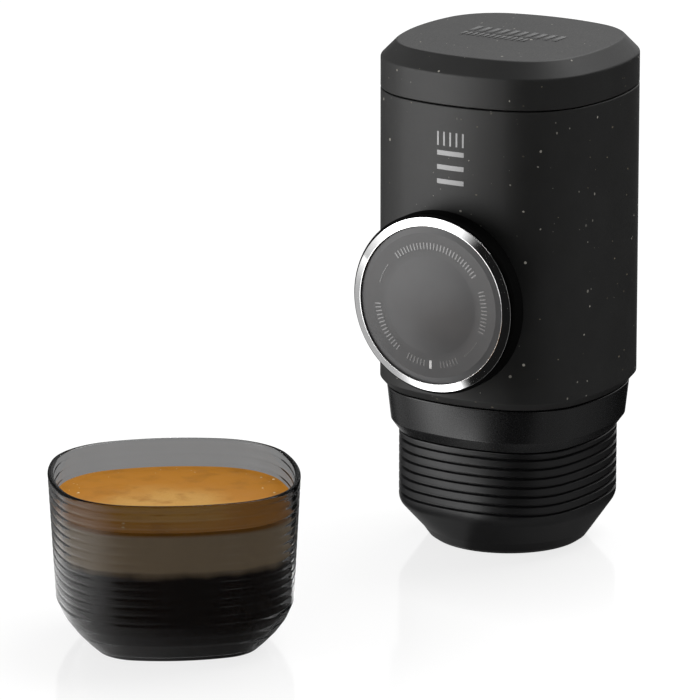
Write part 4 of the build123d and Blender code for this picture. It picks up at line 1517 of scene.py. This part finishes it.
# The floor's reflection: its strength and roughness, and where it begins and is full
SHEEN = 0.12
SHEEN_ROUGHNESS = 0.1
SHEEN_REACH = (110 * MM, 26 * MM)

# Painted shade: close to the maker and to the cup the floor's glow for mirror rays is dimmer, by
# this factor and offset, within the first distance, and not at all beyond each one's own
PAINTED_SHADE_LEVEL = (0.35, 0.1)
PAINTED_SHADE_START = 22 * MM
PAINTED_SHADE_ENDS = (52 * MM, 44 * MM)

# Each lamp: its azimuth and height in degrees, distance, size in metres and power in watts
LAMPS = (
    ("key_softbox", -42, 15, 1.25, (0.75, 0.6), 4.2),
    ("side_strip", 62, 14, 1.3, (0.26, 0.6), 0.5),
    ("top_softbox", 165, 60, 1.2, (1.0, 0.8), 10.0),
)
LAMP_AIM = Vector((0.0, -0.04, 0.06))


def ray_kinds(tree):
    """1 for rays from the camera or through clear pieces, and 1 for mirror rays."""
    path = add_node(tree, "ShaderNodeLightPath").outputs
    seen = add_math(tree, "MAXIMUM", path["Is Camera Ray"], path["Is Transmission Ray"])
    mirrored = add_math(tree, "SUBTRACT", path["Is Glossy Ray"], path["Is Transmission Ray"])
    return seen, add_math(tree, "MAXIMUM", mirrored, 0.0)


def mirror_view(tree, place, dim, lights):
    """How bright mirror rays see a place or direction by its azimuth, and its height."""
    parts = add_node(tree, "ShaderNodeSeparateXYZ", {0: place}).outputs
    ahead = add_math(tree, "MULTIPLY", parts["Y"], -1.0)
    azimuth = add_math(tree, "ARCTAN2", parts["X"], ahead)
    value = dim
    for level, *edges in lights:
        start, full, fade, end = map(radians, edges)
        rise = smooth_step(tree, azimuth, start, full)
        lit = add_math(tree, "MULTIPLY", rise, smooth_step(tree, azimuth, end, fade))
        value = add_math(tree, "MULTIPLY_ADD", lit, level, value)
    return value, parts["Z"]


def build_world(studio):
    """White where it is seen, a soft fill from all round, and a lit side for mirror rays."""
    world = bpy.data.worlds.new("studio")
    bpy.context.scene.world = world
    world.use_nodes = True
    tree = world.node_tree
    light = tree.nodes["Background"]
    light.inputs["Color"].default_value = grey(1.0)
    seen, mirrored = ray_kinds(tree)
    heading = add_node(tree, "ShaderNodeTexCoord").outputs["Object"]
    lit, height = mirror_view(tree, heading, studio.dim, WALL_LIGHTS)
    lit = between(tree, smooth_step(tree, height, *WALL_TOP), lit, studio.dim)
    strength = between(tree, seen, studio.fill, studio.white)
    feed(light, Strength=between(tree, mirrored, strength, lit))
    world.cycles.sampling_method = "NONE"


def floor_finish(centres, dim):
    """White floor that keeps a soft shadow and, close to each piece, a faint reflection; for mirror
    rays it glows with painted light, darkened by painted shade close to each piece.
    """
    made = bpy.data.materials.new("floor")
    made.use_nodes = True
    tree = made.node_tree
    tree.nodes.clear()
    place = add_node(tree, "ShaderNodeTexCoord").outputs["Object"]
    ahead = add_vector(tree, "SUBTRACT", place, FLOOR_MIDDLE)
    # Painted light: how bright the floor glows for mirror rays, by azimuth
    lit, _ = mirror_view(tree, ahead, dim, PAINTED_FLOOR_LIGHTS)
    near = 0.0
    for centre, painted_shade_reach in zip(centres, PAINTED_SHADE_ENDS):
        away = add_vector(tree, "DISTANCE", place, centre)
        near = add_math(tree, "MAXIMUM", near, smooth_step(tree, away, *SHEEN_REACH))
        # Painted shade: close to each piece the floor's glow for mirror rays is dimmer
        painted_shade_near = add_math(tree, "MULTIPLY_ADD", lit, *PAINTED_SHADE_LEVEL)
        lit = between(tree, smooth_step(tree, away, PAINTED_SHADE_START, painted_shade_reach), painted_shade_near, lit)
    plain = add_node(tree, "ShaderNodeBsdfDiffuse", {0: grey(FLOOR_MATT)}).outputs[0]
    glow = add_node(tree, "ShaderNodeEmission", {0: grey(1.0), 1: FLOOR_GLOW}).outputs[0]
    shaded = add_node(tree, "ShaderNodeBsdfDiffuse", {0: grey(FLOOR_SHADED)}).outputs[0]
    pale = add_node(tree, "ShaderNodeAddShader", {0: glow, 1: shaded}).outputs[0]
    values = {"Color": grey(1.0), "Roughness": SHEEN_ROUGHNESS}
    mirror = add_node(tree, "ShaderNodeBsdfGlossy", values)
    sheen = add_math(tree, "MULTIPLY", near, SHEEN)
    # Painted light: the floor glows with it where mirror rays meet it
    painted_glare = add_node(tree, "ShaderNodeEmission", {0: grey(1.0), 1: lit}).outputs[0]
    seen, mirrored = ray_kinds(tree)
    shown = mix_shaders(tree, sheen, pale, mirror.outputs[0])
    shown = mix_shaders(tree, mirrored, mix_shaders(tree, seen, plain, shown), painted_glare)
    feed(tree.nodes.new("ShaderNodeOutputMaterial"), Surface=shown)
    made.cycles.emission_sampling = "NONE"
    return made


def build_floor(studio):
    """Floor just under the maker and the cup."""
    mesh = bpy.data.meshes.new("floor")
    corners = [(x * FLOOR_HALF, y * FLOOR_HALF, -FLOOR_DROP) for x, y in FLOOR_CORNERS]
    mesh.from_pydata(corners, [], [(0, 1, 2, 3)])
    paint = floor_finish([Vector((0, 0, 0)), cup_centre()], studio.dim)
    new_object("floor", mesh, paint)


def bearing(azimuth, height, distance):
    """Point that far from the maker, at an azimuth counted from the knob's side."""
    flat = distance * cos(height)
    return Vector((flat * sin(azimuth), -flat * cos(azimuth), distance * sin(height)))


def build_lamps():
    """Low softbox on the left, a narrow strip on the right and a softbox high behind."""
    for name, azimuth, height, distance, size, watts in LAMPS:
        lamp = bpy.data.lights.new(name, "AREA")
        lamp.shape = "RECTANGLE"
        lamp.size, lamp.size_y = size
        lamp.energy = watts
        piece = bpy.data.objects.new(name, lamp)
        bpy.context.scene.collection.objects.link(piece)
        piece.location = LAMP_AIM + bearing(radians(azimuth), radians(height), distance)
        piece.rotation_mode = "QUATERNION"
        piece.rotation_quaternion = (LAMP_AIM - piece.location).to_track_quat("-Z", "Y")


def build_camera(studio):
    """Camera at the studio's azimuth and pitch, with the maker at its place in the image."""
    lens = bpy.data.cameras.new("camera")
    camera = bpy.data.objects.new("camera", lens)
    bpy.context.scene.collection.objects.link(camera)
    lens.sensor_width = 36.0
    lens.lens = studio.focal * lens.sensor_width / IMAGE_SIZE
    lens.clip_start, lens.clip_end = 0.05, 50.0
    back = bearing(studio.azimuth, studio.pitch, 1.0)
    right = Vector((cos(studio.azimuth), sin(studio.azimuth), 0.0))
    up = back.cross(right)
    pixel = studio.distance / studio.focal
    middle = IMAGE_SIZE / 2
    aim = Vector((0.0, 0.0, studio.maker_height))
    aim += right * (middle - studio.maker_x) * pixel + up * (studio.maker_y - middle) * pixel
    camera.location = aim + back * studio.distance
    camera.rotation_mode = "QUATERNION"
    camera.rotation_quaternion = (-back).to_track_quat("-Z", "Y")
    bpy.context.scene.camera = camera


# ---------------------------------------------------------------- operators


class ESPRESSO_OT_casing(Operator):
    """Build the speckled casing with its pad and its mark"""

    bl_idname = "espresso.casing"
    bl_label = "Casing"

    def execute(self, context):
        build_casing(context.scene.espresso_maker)
        return {"FINISHED"}


class ESPRESSO_OT_lid(Operator):
    """Build the speckled lid with its grip bars"""

    bl_idname = "espresso.lid"
    bl_label = "Lid"

    def execute(self, context):
        build_lid(context.scene.espresso_maker)
        return {"FINISHED"}


class ESPRESSO_OT_collar(Operator):
    """Build the smooth band under the casing"""

    bl_idname = "espresso.collar"
    bl_label = "Collar"

    def execute(self, context):
        build_collar(context.scene.espresso_maker)
        return {"FINISHED"}


class ESPRESSO_OT_head(Operator):
    """Build the ribbed outlet head, its bayonet lugs and its foot"""

    bl_idname = "espresso.head"
    bl_label = "Outlet head"

    def execute(self, context):
        build_head(context.scene.espresso_maker)
        return {"FINISHED"}


class ESPRESSO_OT_knob(Operator):
    """Build the knob's body, metal ring, face disc and ticks"""

    bl_idname = "espresso.knob"
    bl_label = "Knob"

    def execute(self, context):
        build_knob(context.scene.espresso_maker)
        return {"FINISHED"}


class ESPRESSO_OT_cup(Operator):
    """Build the ribbed smoke-clear cup"""

    bl_idname = "espresso.cup"
    bl_label = "Cup"

    def execute(self, context):
        build_cup(context.scene.espresso_maker)
        return {"FINISHED"}


class ESPRESSO_OT_drink(Operator):
    """Fill the cup with coffee, foam and bubbles"""

    bl_idname = "espresso.drink"
    bl_label = "Drink"

    def execute(self, context):
        build_drink(context.scene.espresso_maker)
        return {"FINISHED"}


class ESPRESSO_OT_inner(Operator):
    """Give the pump, the tank, the valves and the seals their finishes"""

    bl_idname = "espresso.inner"
    bl_label = "Inner pieces"

    def execute(self, context):
        finish_inner_pieces()
        return {"FINISHED"}


class ESPRESSO_OT_studio(Operator):
    """Build the floor, the background, the lamps and the camera"""

    bl_idname = "espresso.studio"
    bl_label = "Studio"

    def execute(self, context):
        studio = context.scene.espresso_maker.studio
        build_world(studio)
        build_floor(studio)
        build_lamps()
        build_camera(studio)
        context.scene.view_settings.view_transform = "Standard"
        return {"FINISHED"}


OPERATORS = (
    ESPRESSO_OT_casing,
    ESPRESSO_OT_lid,
    ESPRESSO_OT_collar,
    ESPRESSO_OT_head,
    ESPRESSO_OT_knob,
    ESPRESSO_OT_cup,
    ESPRESSO_OT_drink,
    ESPRESSO_OT_inner,
    ESPRESSO_OT_studio,
)


class ESPRESSO_PT_maker(Panel):
    """Lists the pieces of the espresso maker, each with its sizes"""

    bl_idname = "ESPRESSO_PT_maker"
    bl_label = "Espresso maker"
    bl_space_type = "VIEW_3D"
    bl_region_type = "UI"
    bl_category = "Espresso"

    def draw(self, context):
        for operator in OPERATORS:
            self.layout.operator(operator.bl_idname)
        for group in MakerSettings.__annotations__:
            sizes = getattr(context.scene.espresso_maker, group)
            box = self.layout.box()
            box.label(text=group.capitalize())
            for name in sizes.__annotations__:
                box.prop(sizes, name)


CLASSES = (
    PlanSizes,
    CasingSizes,
    LidSizes,
    CollarSizes,
    HeadSizes,
    KnobSizes,
    CupSizes,
    DrinkSizes,
    FinishColours,
    StudioSizes,
    MakerSettings,
    *OPERATORS,
    ESPRESSO_PT_maker,
)


def register():
    """Adds the classes and the scene's settings."""
    for item in CLASSES:
        bpy.utils.register_class(item)
    bpy.types.Scene.espresso_maker = PointerProperty(type=MakerSettings)


def unregister():
    """Removes them again."""
    del bpy.types.Scene.espresso_maker
    for item in reversed(CLASSES):
        bpy.utils.unregister_class(item)


def main():
    """Builds every piece and the stage."""
    register()
    for operator in OPERATORS:
        getattr(bpy.ops.espresso, operator.bl_idname.split(".")[1])()


if __name__ == "__main__":
    main()
